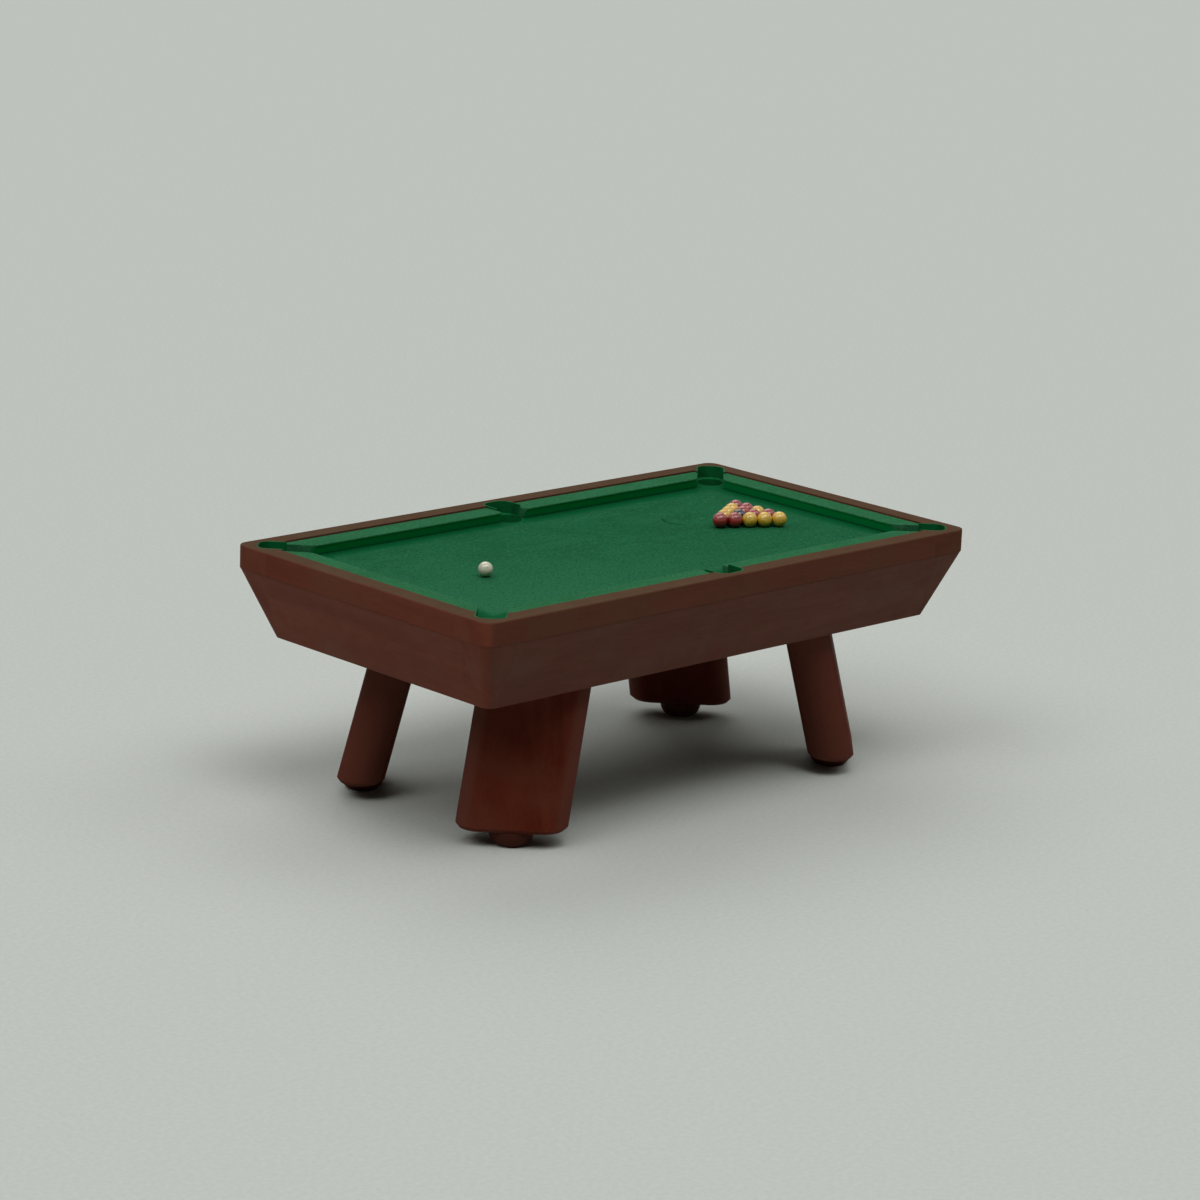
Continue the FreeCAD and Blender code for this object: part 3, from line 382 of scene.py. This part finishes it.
def timber(name, along, stain, shift, ends=None, tops=None, edge=None, gloss=OILED_GLOSS):
    """Stained and oiled timber: long grain, pores, uneven stain and edges rubbed paler.

    ends is a lighter, redder copy of the stain, painted light on faces that look along the table, tops the
    tone of tops dulled by hands, and edge a lighter tone, painted light on a slab's narrow sides."""
    paint = Paint(name)
    figure = paint.noise(paint.place(grained(along, FIGURE_WAVES), shift),
                         detail=6.0, roughness=0.6, distortion=0.7)
    fibre = paint.noise(paint.place(grained(along, FIBRE_WAVES), shift), roughness=0.6)
    pores = paint.noise(paint.place(grained(along, PORE_WAVES), shift), detail=2.0)
    cloud = paint.noise(paint.place(CLOUD_WAVES, shift), detail=4.0, roughness=0.55)
    blotch = paint.noise(paint.place(BLOTCH_WAVES, shift), detail=4.0, roughness=0.6, distortion=0.4)

    def stained(tones):
        """The stain's colour over the grain."""
        tone = paint.mix(paint.fade(figure, 0.36, 0.64), tones.deep, tones.even)
        tone = paint.mix(paint.fade(fibre, 0.50, 0.82, end=0.30), tone, tones.pale)
        tone = paint.mix(paint.fade(cloud, 0.44, 0.66, end=0.75), tone, tones.patchy)
        return paint.mix(paint.fade(blotch, 0.52, 0.74, end=0.35), tone, tones.deep)

    colour = stained(stain)
    if ends is not None:
        # Painted light: faces that look along the table get the lighter, redder end stain.
        along_table = paint.combine("ABSOLUTE", paint.facing("X"))
        colour = paint.mix(paint.fade(along_table, 0.25, 0.75), colour, stained(ends))
    if edge is not None:
        # Painted light: a lighter tone on the narrow sides of the leg slabs.
        colour = paint.mix(painted_light_on_slab_sides(paint), colour, edge)
    if tops is not None:
        handled = paint.combine("MULTIPLY", paint.fade(paint.facing("Z"), 0.55, 0.95),
                                paint.fade(figure, 0.3, 0.7, start=0.75))
        colour = paint.mix(handled, colour, tops)
    colour = paint.mix(paint.fade(pores, 0.60, 0.74, end=0.35), colour, shaded(stain.deep, PORE_SHARE))
    eased = paint.eased(EASED_EDGE)
    rubbed = paint.combine("MULTIPLY", paint.edges(eased),
                           paint.fade(blotch, 0.35, 0.65, start=0.35, end=0.85))
    colour = paint.mix(rubbed, colour, stain.pale)
    roughness = paint.combine("ADD", paint.fade(blotch, 0.3, 0.7, start=0.50, end=0.64),
                              paint.fade(pores, 0.60, 0.74, end=0.15))
    relief = paint.bump(fibre, strength=0.08, distance=0.0008, under=eased)
    relief = paint.bump(pores, strength=0.10, distance=0.0005, under=relief)
    return paint.finish(colour, roughness, relief, Specular_IOR_Level=gloss)


def painted_light_toward_baulk_corner(paint):
    """How far painted light lightens the bed, most toward the right-hand corner of the baulk end."""
    toward_rack = paint.combine("DIVIDE", paint.axis("X"), HALF_PLAY_X)
    toward_left = paint.combine("DIVIDE", paint.axis("Y"), HALF_PLAY_Y)
    return paint.fade(paint.combine("ADD", toward_rack, toward_left), 0.6, -2.0, end=0.75)


def painted_shade_by_cushions(paint, cloud):
    """Painted shade: a darker band of the bed along the noses of the cushions, with a wandering border."""
    past_x = paint.combine("SUBTRACT", paint.combine("ABSOLUTE", paint.axis("X")), HALF_PLAY_X)
    past_y = paint.combine("SUBTRACT", paint.combine("ABSOLUTE", paint.axis("Y")), HALF_PLAY_Y)
    wander = paint.fade(cloud, 0.3, 0.7, start=-0.010, end=0.010)
    near = paint.combine("ADD", paint.combine("MAXIMUM", past_x, past_y), wander)
    return paint.fade(near, -0.070, -0.028, end=0.85)


def curved_dark_mark(paint, fleck):
    """Short darker curved mark on the bed cloth before the rack."""
    off_ring = paint.combine("ABSOLUTE", paint.combine("SUBTRACT", paint.distance(DARK_MARK_MIDDLE), DARK_MARK_RADIUS))
    ends = paint.fade(paint.axis("X"), DARK_MARK_END + DARK_MARK_END_BLUR, DARK_MARK_END - DARK_MARK_END_BLUR)
    line = paint.combine("MULTIPLY", paint.fade(off_ring, DARK_MARK_REACH, DARK_MARK_CORE), ends)
    return paint.combine("MULTIPLY", line, paint.fade(fleck, 0.25, 0.60, start=0.45, end=0.95))


def baize(name, cloth):
    """Woollen cloth: crossing threads under a short nap, brushed and flecked unevenly by wear, with painted
    light and, on the bed, painted shade.
    """
    paint = Paint(name)
    spot = paint.place()
    cloud = paint.noise(spot, CLOTH_CLOUDS, detail=5.0, roughness=0.60, distortion=0.5)
    brushed = paint.noise(paint.place(BRUSHED_WAVES), detail=4.0, roughness=0.6)
    nap = paint.noise(spot, NAP, detail=4.0, roughness=0.7)
    fleck = paint.noise(spot, FLECKS, detail=4.0, roughness=0.65)
    speck = paint.noise(paint.place(shift=SPECK_SHIFT), SPECKS, roughness=0.6)
    threads = paint.combine("ADD", paint.bands(spot, THREADS, "X"), paint.bands(spot, THREADS, "Y"))
    colour = paint.mix(paint.fade(cloud, 0.36, 0.62), cloth.deep, cloth.middle)
    colour = paint.mix(paint.fade(brushed, 0.46, 0.72, end=0.45), colour, cloth.bright)
    if cloth.edge is not None:
        # Painted light: the bed cloth turns lighter toward the right-hand corner of the baulk end.
        colour = paint.mix(painted_light_toward_baulk_corner(paint), colour, cloth.worn)
    colour = paint.mix(paint.fade(fleck, 0.48, 0.68, end=0.65), colour, cloth.worn)
    colour = paint.mix(paint.fade(speck, 0.52, 0.66, end=0.80), colour, shaded(cloth.deep, SPECK_SHARE))
    colour = paint.mix(paint.fade(nap, 0.35, 0.7, end=0.25), colour, cloth.deep)
    if cloth.edge is not None:
        # Painted shade: a darker band of the bed along the noses of the cushions.
        colour = paint.mix(painted_shade_by_cushions(paint, cloud), colour, cloth.edge)
        colour = paint.mix(curved_dark_mark(paint, fleck), colour, shaded(cloth.deep, DARK_MARK_SHARE))
    # Painted light: cloth that looks downward, on the undercut sides, turns bright green.
    if cloth.face is not None:
        colour = paint.mix(paint.fade(paint.facing("Z"), -0.02, -0.28), colour, cloth.face)
    relief = paint.bump(threads, strength=0.25, distance=0.0003)
    relief = paint.bump(nap, strength=0.35, distance=0.0006, under=relief)
    roughness = paint.fade(cloud, 0.3, 0.7, start=0.86, end=0.97)
    return paint.finish(colour, roughness, relief, Specular_IOR_Level=0.03, Sheen_Weight=0.08,
                        Sheen_Roughness=0.5, Sheen_Tint=cloth.bright)


def resin(name, tones):
    """Polished ball resin, faintly clouded, with fine scratches and a trace of chalk."""
    paint = Paint(name)
    spot = paint.place()
    cloud = paint.noise(spot, 55.0, detail=4.0, roughness=0.55, distortion=0.8)
    scratch = paint.noise(paint.place((60.0, 420.0, 160.0)), roughness=0.6, distortion=1.2)
    chalk = paint.noise(spot, 160.0, detail=5.0, roughness=0.65)
    colour = paint.mix(paint.fade(cloud, 0.32, 0.68), *tones)
    colour = paint.mix(paint.fade(chalk, 0.68, 0.86, end=0.06), colour, CHALK)
    roughness = paint.combine("ADD", paint.fade(scratch, 0.5, 0.72, start=0.12, end=0.24),
                              paint.fade(chalk, 0.68, 0.86, end=0.2))
    relief = paint.bump(scratch, strength=0.04, distance=0.0002)
    return paint.finish(colour, roughness, relief, Specular_IOR_Level=0.5, Coat_Weight=0.35,
                        Coat_Roughness=0.08)


def moulded(name, tones, polished):
    """Moulded rubber of the pockets: fine pebbled skin, polished where balls rub it."""
    paint = Paint(name)
    spot = paint.place()
    pebble = paint.cells(spot, 420.0)
    cloud = paint.noise(spot, 18.0, detail=4.0, roughness=0.6)
    rub = paint.noise(paint.place((40.0, 40.0, 9.0)), detail=4.0, roughness=0.6)
    colour = paint.mix(paint.fade(cloud, 0.35, 0.65), *tones)
    colour = paint.mix(paint.fade(rub, 0.60, 0.82, end=0.25), colour, polished)
    roughness = paint.fade(rub, 0.45, 0.75, start=0.80, end=0.62)
    relief = paint.bump(pebble, strength=0.25, distance=0.0004)
    return paint.finish(colour, roughness, relief, Specular_IOR_Level=0.12)


def stone(name, tones):
    """Sawn slate: layered greys with fine grit."""
    paint = Paint(name)
    layers = paint.noise(paint.place((3.0, 3.0, 60.0)), detail=5.0, roughness=0.6, distortion=0.6)
    grit = paint.noise(paint.place(), 300.0, roughness=0.6)
    colour = paint.mix(paint.fade(layers, 0.35, 0.65), *tones)
    colour = paint.mix(paint.fade(grit, 0.55, 0.75, end=0.4), colour, tones[0])
    roughness = paint.fade(layers, 0.3, 0.7, start=0.66, end=0.82)
    return paint.finish(colour, roughness, paint.bump(grit, strength=0.3, distance=0.0005))


def steel(name, tones):
    """Zinc-plated steel with turning marks and dull patches."""
    paint = Paint(name)
    turning = paint.noise(paint.place((30.0, 30.0, 700.0)), roughness=0.6)
    dull = paint.noise(paint.place(), 40.0, detail=4.0, roughness=0.6)
    deep, bright = tones
    colour = paint.mix(paint.fade(dull, 0.35, 0.7), bright, deep)
    roughness = paint.combine("ADD", paint.fade(dull, 0.3, 0.7, start=0.26, end=0.44),
                              paint.fade(turning, 0.4, 0.7, end=0.1))
    relief = paint.bump(turning, strength=0.1, distance=0.0002)
    return paint.finish(colour, roughness, relief, Metallic=1.0)


def arc(middle, radius, start, end, steps):
    """Points of an arc in plan, angles in degrees."""
    points = []
    for step in range(steps + 1):
        turn = math.radians(start + (end - start) * step / steps)
        points.append((middle[0] + radius * math.cos(turn), middle[1] + radius * math.sin(turn)))
    return points


def corner_point(ahead, across):
    """Point in plan by the corner pocket with x and y positive, ahead along its notch and across it."""
    x = HALF_PLAY_X + CORNER_OFFSET + (ahead + across) / ROOT_TWO
    y = HALF_PLAY_Y + CORNER_OFFSET + (ahead - across) / ROOT_TWO
    return (x, y)


def cloth_quarter():
    """Edge of the cloth from side pocket to corner pocket, in the quarter with x and y positive."""
    side = (0.0, HALF_PLAY_Y + SIDE_OFFSET)
    points = arc(side, SIDE_HOLE, -90.0, 0.0, ARC_STEPS // 2)
    points += [(SIDE_NOTCH_HALF, side[1]), (SIDE_NOTCH_HALF, HALF_BED_Y)]
    ahead = (BED_MARGIN - CORNER_OFFSET) * ROOT_TWO - CORNER_NOTCH_HALF
    points += [corner_point(ahead, -CORNER_NOTCH_HALF), corner_point(-CORNER_LEAD, -CORNER_NOTCH_HALF)]
    turn = math.degrees(math.acos(CORNER_LEAD / CORNER_HOLE))
    points += arc(corner_point(0.0, 0.0), CORNER_HOLE, CORNER_NOTCH_DEGREES - turn,
                  CORNER_NOTCH_DEGREES + turn, ARC_STEPS)
    points += [corner_point(-CORNER_LEAD, CORNER_NOTCH_HALF), corner_point(ahead, CORNER_NOTCH_HALF)]
    return points


def cloth_outline():
    """Closed outline of the cloth, mirrored from one quarter."""
    quarter = cloth_quarter()
    outline = []
    for sign_x, sign_y in ((1, 1), (1, -1), (-1, -1), (-1, 1)):
        points = [(sign_x * x, sign_y * y) for x, y in quarter]
        if sign_x * sign_y < 0:
            points.reverse()
        outline += [point for point in points if point not in outline]
    return outline


def bolt_hole_loops():
    """Small round holes where the rail bolts pass the cloth."""
    line_x = HALF_PLAY_X + BOLT_SETBACK
    line_y = HALF_PLAY_Y + BOLT_SETBACK
    middles = []
    for sign in (-1, 1):
        middles += [(share * HALF_PLAY_X, sign * line_y) for share in BOLT_SIDE_SHARES]
        middles += [(sign * line_x, share * HALF_PLAY_Y) for share in BOLT_END_SHARES]
    last_turn = 360.0 * (1.0 - 1.0 / BOLT_HOLE_SIDES)
    return [arc(middle, BOLT_HOLE, 0.0, last_turn, BOLT_HOLE_SIDES - 1) for middle in middles]


def grid_points():
    """Points spread over the bed, which keep the cloth's faces even."""
    columns = int(2 * HALF_BED_X / CLOTH_GRID)
    rows = int(2 * HALF_BED_Y / CLOTH_GRID)
    points = []
    for column in range(1, columns):
        for row in range(1, rows):
            x = -HALF_BED_X + 2 * HALF_BED_X * column / columns
            y = -HALF_BED_Y + 2 * HALF_BED_Y * row / rows
            points.append(Vector((x, y)))
    return points


def mesh_of(build, name, material):
    """Mesh of what was built, with its material."""
    mesh = bpy.data.meshes.new(name)
    build.to_mesh(mesh)
    build.free()
    mesh.materials.append(material)
    return mesh


def add_piece(name, mesh, node):
    """Piece on the table that stands for a CAD node."""
    piece = bpy.data.objects.new(name, mesh)
    bpy.context.scene.collection.objects.link(piece)
    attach(piece, "table")
    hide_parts(node)
    return piece


def make_bed_cloth(material):
    """Cloth stretched over the slate, cut round the pockets."""
    points = []
    edges = []
    for loop in [cloth_outline()] + bolt_hole_loops():
        first = len(points)
        points += [Vector(point) for point in loop]
        edges += [(first + step, first + (step + 1) % len(loop)) for step in range(len(loop))]
    points += grid_points()
    flat = delaunay_2d_cdt(points, edges, [], INSIDE_WITHOUT_HOLES, MERGE_DISTANCE)
    build = bmesh.new()
    made = [build.verts.new((point.x, point.y, BED_TOP)) for point in flat[0]]
    for face in flat[2]:
        build.faces.new([made[index] for index in face])
    loose = [vert for vert in build.verts if not vert.link_faces]
    bmesh.ops.delete(build, geom=loose, context="VERTS")
    bmesh.ops.recalc_face_normals(build, faces=build.faces)
    if sum(face.normal.z for face in build.faces) < 0:
        bmesh.ops.reverse_faces(build, faces=build.faces)
    bmesh.ops.solidify(build, geom=list(build.faces), thickness=CLOTH_THICKNESS)
    mesh = mesh_of(build, "bed_cloth_sheet", material)
    piece = add_piece("bed_cloth_sheet", mesh, "bed_cloth")


def cushion_top(setback):
    """Height of a cushion's cloth at a setback from the nose."""
    return CUSHION_TOP_NOSE + (CUSHION_TOP_BACK - CUSHION_TOP_NOSE) * setback / CUSHION_WIDTH


def cushion_under(setback):
    """Height of a cushion's underside: undercut to the heel, then a cover over the sub-rail."""
    nose_low = NOSE_HEIGHT - NOSE_RADIUS
    if setback < HEEL:
        return nose_low + (HEEL_HEIGHT - nose_low) * (setback - NOSE_RADIUS) / (HEEL - NOSE_RADIUS)
    if setback < RUBBER_DEPTH:
        return HEEL_HEIGHT
    return cushion_top(setback) - COVER


def cushion_stations():
    """Setback, top and underside of a cushion, from its nose to its back."""
    stations = []
    for step in range(NOSE_STEPS + 1):
        turn = 0.5 * math.pi * step / NOSE_STEPS
        rise = NOSE_RADIUS * math.sin(turn)
        stations.append((NOSE_RADIUS * (1.0 - math.cos(turn)), NOSE_HEIGHT + rise, NOSE_HEIGHT - rise))
    for setback in SETBACKS:
        stations.append((setback, cushion_top(setback), cushion_under(setback)))
    return stations


def corner_gap(setback):
    """How far a cushion stops short of the corner of play, at a setback from its nose."""
    if setback < JAW_TURN:
        return NOTCH_TIP + JAW_REACH - math.sqrt(CORNER_JAW ** 2 - (CORNER_JAW - setback) ** 2)
    past = setback - NOTCH_TIP
    return max(-past, min(past, LINING_SPAN - past), 0.0)


def side_gap(setback):
    """How far a cushion stops short of the middle of the side pocket."""
    if setback < SIDE_JAW:
        return SIDE_MOUTH / 2 + SIDE_JAW - math.sqrt(SIDE_JAW ** 2 - (SIDE_JAW - setback) ** 2)
    if setback < SIDE_OFFSET:
        return SIDE_MOUTH / 2
    return SIDE_MOUTH / 2 + LINING


def cushion_run(start, end):
    """Places along a cushion with their drops from its top: a rounded end, an even run, a rounded end."""
    inner = [(start + back, drop) for back, drop in END_ROUND]
    outer = [(end - back, drop) for back, drop in reversed(END_ROUND)]
    first = inner[-1][0]
    last = outer[0][0]
    run = [(first + (last - first) * step / CUSHION_DIVISIONS, 0.0) for step in range(1, CUSHION_DIVISIONS)]
    return inner + run + outer


def cushion_rows(build, ends, faced, to_row):
    """Rows of points on a cushion's top and underside, one of each for every setback."""
    facing_reach = FACING + HAIRLINE / 2
    tops = []
    unders = []
    for setback, top, under in cushion_stations():
        start, end = ends(setback)
        keep = min(1.0, (top - under) / FULL_ROUND_DEPTH)
        has_facing = RUBBER_DEPTH < setback < NOTCH_TIP
        top_row = []
        under_row = []
        for along, drop in cushion_run(start, end):
            in_facing = faced[0] and along - start < facing_reach or faced[1] and end - along < facing_reach
            low = HEEL_HEIGHT if has_facing and in_facing else under
            top_row.append(build.verts.new(to_row(along, setback, top - keep * drop)))
            under_row.append(build.verts.new(to_row(along, setback, low)))
        tops.append(top_row)
        unders.append(under_row)
    return tops, unders


def skin_cushion(build, tops, unders):
    """Faces over a cushion's rows: top, underside, both ends and back."""
    count = len(tops[0])
    for row in range(len(tops) - 1):
        top, next_top = tops[row:row + 2]
        under, next_under = unders[row:row + 2]
        for step in range(count - 1):
            after = step + 1
            build.faces.new((top[step], top[after], next_top[after], next_top[step]))
            build.faces.new((under[step], next_under[step], next_under[after], under[after]))
        for step in (0, count - 1):
            build.faces.new((top[step], next_top[step], next_under[step], under[step]))
    for step in range(count - 1):
        build.faces.new((tops[-1][step], tops[-1][step + 1], unders[-1][step + 1], unders[-1][step]))


def make_cushion(node, ends, faced, to_row, material):
    """Rubber cushion under tight cloth from one jaw to the next.

    ends gives its two ends at a setback, faced tells which of them lie at corner pockets, and to_row puts a
    place along it, a setback and a height into the table's frame."""
    build = bmesh.new()
    skin_cushion(build, *cushion_rows(build, ends, faced, to_row))
    bmesh.ops.remove_doubles(build, verts=build.verts, dist=MERGE_DISTANCE)
    bmesh.ops.dissolve_degenerate(build, edges=build.edges, dist=SLIVER_LENGTH)
    bmesh.ops.recalc_face_normals(build, faces=build.faces)
    for face in build.faces:
        face.smooth = True
    mesh = mesh_of(build, node + "_cloth", material)
    mesh.set_sharp_from_angle(angle=math.radians(SHARP_DEGREES))
    piece = add_piece(node + "_cloth", mesh, node)


def make_cushions(material):
    """Six cushions: two on each long side, parted by the side pocket, and one at each end."""
    for side, sign_y in (("left", 1), ("right", -1)):
        for end, sign_x in (("rack", 1), ("baulk", -1)):
            make_cushion(
                f"cushion_{side}_{end}",
                lambda setback: (side_gap(setback), HALF_PLAY_X - corner_gap(setback)),
                (False, True),
                lambda along, setback, z, a=sign_x, b=sign_y: (a * along, b * (HALF_PLAY_Y + setback), z),
                material,
            )
    for end, sign_x in (("rack", 1), ("baulk", -1)):
        make_cushion(
            f"cushion_{end}",
            lambda setback: (corner_gap(setback) - HALF_PLAY_Y, HALF_PLAY_Y - corner_gap(setback)),
            (True, True),
            lambda along, setback, z, a=sign_x: (a * (HALF_PLAY_X + setback), along, z),
            material,
        )


def dress(material, *names):
    """Gives CAD nodes a material."""
    for name in names:
        slots = nodes[name].data.materials
        slots.clear()
        slots.append(material)


def names_starting(*starts):
    """CAD nodes whose names start with one of these words."""
    return [name for name in sorted(nodes) if name.startswith(starts)]


def rail_timber(name, along, shift):
    """Timber of a rail, whose top is dulled by hands."""
    return timber(name, along, RAIL_STAIN, shift, ends=LIT_END_STAIN, tops=HANDLED_TOP, gloss=HANDLED_GLOSS)


def cabinet_timber(name, along, shift):
    """Timber of the cabinet."""
    return timber(name, along, SIDE_STAIN, shift, ends=LIT_END_STAIN)


def dress_timber():
    """Rails, cabinet, legs, feet and frame. Each has its own stretch of grain."""
    dress(rail_timber("rail_side_timber", "X", (0.0, 0.0, 0.0)), "rail_left", "rail_right")
    dress(rail_timber("rail_end_timber", "Y", (3.1, 0.7, 0.0)), "rail_baulk", "rail_rack")
    dress(rail_timber("rail_corner_timber", "X", (1.7, 4.3, 0.2)), "rail_corners")
    dress(cabinet_timber("cabinet_side_timber", "X", (0.4, 2.2, 0.9)), "apron_left", "apron_right")
    dress(cabinet_timber("cabinet_end_timber", "Y", (5.2, 0.3, 1.4)), "apron_baulk", "apron_rack")
    dress(cabinet_timber("cabinet_corner_timber", "Z", (2.6, 1.9, 0.5)), "apron_corners")
    # The legs' narrow sides get a lighter tone: painted light.
    dress(timber("leg_timber", "Z", LEG_STAIN, (0.8, 0.5, 0.0), edge=LEG_SIDE_LIGHT, gloss=LEG_GLOSS),
          *names_starting("leg_baulk", "leg_rack"))
    dress(timber("foot_timber", "Z", FOOT_STAIN, (0.2, 0.9, 0.3)), *names_starting("foot_"))
    dress(timber("frame_side_timber", "X", PINE_STAIN, (0.0, 0.4, 0.1)), *names_starting("side_beam"))
    dress(timber("frame_end_timber", "Y", PINE_STAIN, (0.6, 0.0, 0.2)), *names_starting("end_beam"),
          "cross_beams", "apron_blocks")


def dress_others():
    """Slate, pockets, fasteners and balls."""
    dress(stone("slate_stone", SLATE), "slate_bed")
    dress(moulded("pocket_rubber", POCKET_RUBBER, POLISHED_RUBBER), "corner_pockets", "side_pockets")
    dress(steel("plated_steel", PLATED_STEEL), "rail_bolts", "frame_bolts", "leg_bolts", "leg_plates",
          "leveller_bushes", "slate_screws", *names_starting("leveller_screw"))
    dress(resin("red_resin", RED_RESIN), *names_starting("ball_red"))
    dress(resin("yellow_resin", YELLOW_RESIN), *names_starting("ball_yellow"))
    dress(resin("black_resin", BLACK_RESIN), "ball_black")
    dress(resin("white_resin", WHITE_RESIN), "cue_ball")


def make_floor():
    """Pale seamless floor."""
    paint = Paint("floor_paper")
    fibre = paint.noise(paint.place(), 60.0, detail=4.0, roughness=0.6)
    colour = paint.mix(paint.fade(fibre, 0.3, 0.7), *PAPER_TONES)
    roughness = paint.fade(fibre, 0.3, 0.7, start=0.84, end=0.94)
    paper = paint.finish(colour, roughness, None, Specular_IOR_Level=0.0)
    build = bmesh.new()
    bmesh.ops.create_grid(build, x_segments=1, y_segments=1, size=FLOOR_HALF)
    floor = bpy.data.objects.new("floor", mesh_of(build, "floor", paper))
    bpy.context.scene.collection.objects.link(floor)


def make_world():
    """Even light from all round. Rays that see the world itself find the tone of the floor."""
    world = bpy.data.worlds.new("studio")
    bpy.context.scene.world = world
    world.use_nodes = True
    tree = world.node_tree
    tree.nodes.clear()
    output = tree.nodes.new("ShaderNodeOutputWorld")
    seen = tree.nodes.new("ShaderNodeBackground")
    seen.inputs["Color"].default_value = BACKDROP_TONE
    light = tree.nodes.new("ShaderNodeBackground")
    light.inputs["Color"].default_value = AMBIENT_TONE
    light.inputs["Strength"].default_value = AMBIENT_SHARE
    path = tree.nodes.new("ShaderNodeLightPath")
    either = tree.nodes.new("ShaderNodeMath")
    either.operation = "MAXIMUM"
    any_ray = tree.nodes.new("ShaderNodeMath")
    any_ray.operation = "MAXIMUM"
    choose = tree.nodes.new("ShaderNodeMixShader")
    tree.links.new(path.outputs["Is Camera Ray"], either.inputs[0])
    tree.links.new(path.outputs["Is Glossy Ray"], either.inputs[1])
    tree.links.new(either.outputs["Value"], any_ray.inputs[0])
    tree.links.new(path.outputs["Is Transmission Ray"], any_ray.inputs[1])
    tree.links.new(any_ray.outputs["Value"], choose.inputs["Fac"])
    tree.links.new(light.outputs["Background"], choose.inputs[1])
    tree.links.new(seen.outputs["Background"], choose.inputs[2])
    tree.links.new(choose.outputs["Shader"], output.inputs["Surface"])


def add_light(name, tilt, turn, share, spread):
    """Soft light from far off, which gives a share of the floor's light."""
    lamp = bpy.data.lights.new(name, "SUN")
    lamp.energy = share * math.pi / math.cos(math.radians(tilt))
    lamp.angle = math.radians(spread)
    light = bpy.data.objects.new(name, lamp)
    light.rotation_euler = (0.0, math.radians(tilt), math.radians(turn))
    bpy.context.scene.collection.objects.link(light)


def make_camera():
    """Camera at the photograph's viewing angle."""
    yaw = math.radians(CAMERA_YAW)
    pitch = math.radians(CAMERA_PITCH)
    roll = math.radians(CAMERA_ROLL)
    ahead = Vector((math.cos(pitch) * math.cos(yaw), math.cos(pitch) * math.sin(yaw), math.sin(pitch)))
    right = ahead.cross(Vector((0.0, 0.0, 1.0))).normalized()
    up = right.cross(ahead)
    tilted_right = math.cos(roll) * right + math.sin(roll) * up
    tilted_up = math.cos(roll) * up - math.sin(roll) * right
    lens = bpy.data.cameras.new("camera")
    lens.lens = CAMERA_LENS
    lens.sensor_width = CAMERA_FILM
    lens.clip_end = CAMERA_REACH
    camera = bpy.data.objects.new("camera", lens)
    turn = Matrix((tilted_right, tilted_up, -ahead)).transposed().to_4x4()
    camera.matrix_world = Matrix.Translation(CAMERA_PLACE) @ turn
    bpy.context.scene.collection.objects.link(camera)
    bpy.context.scene.camera = camera


bpy.context.scene.view_settings.view_transform = "Standard"
dress_timber()
dress_others()
make_bed_cloth(baize("bed_baize", BED_CLOTH))
make_cushions(baize("cushion_baize", CUSHION_CLOTH))
make_floor()
make_world()
for light_name, settings in LIGHTS.items():
    add_light(light_name, *settings)
make_camera()
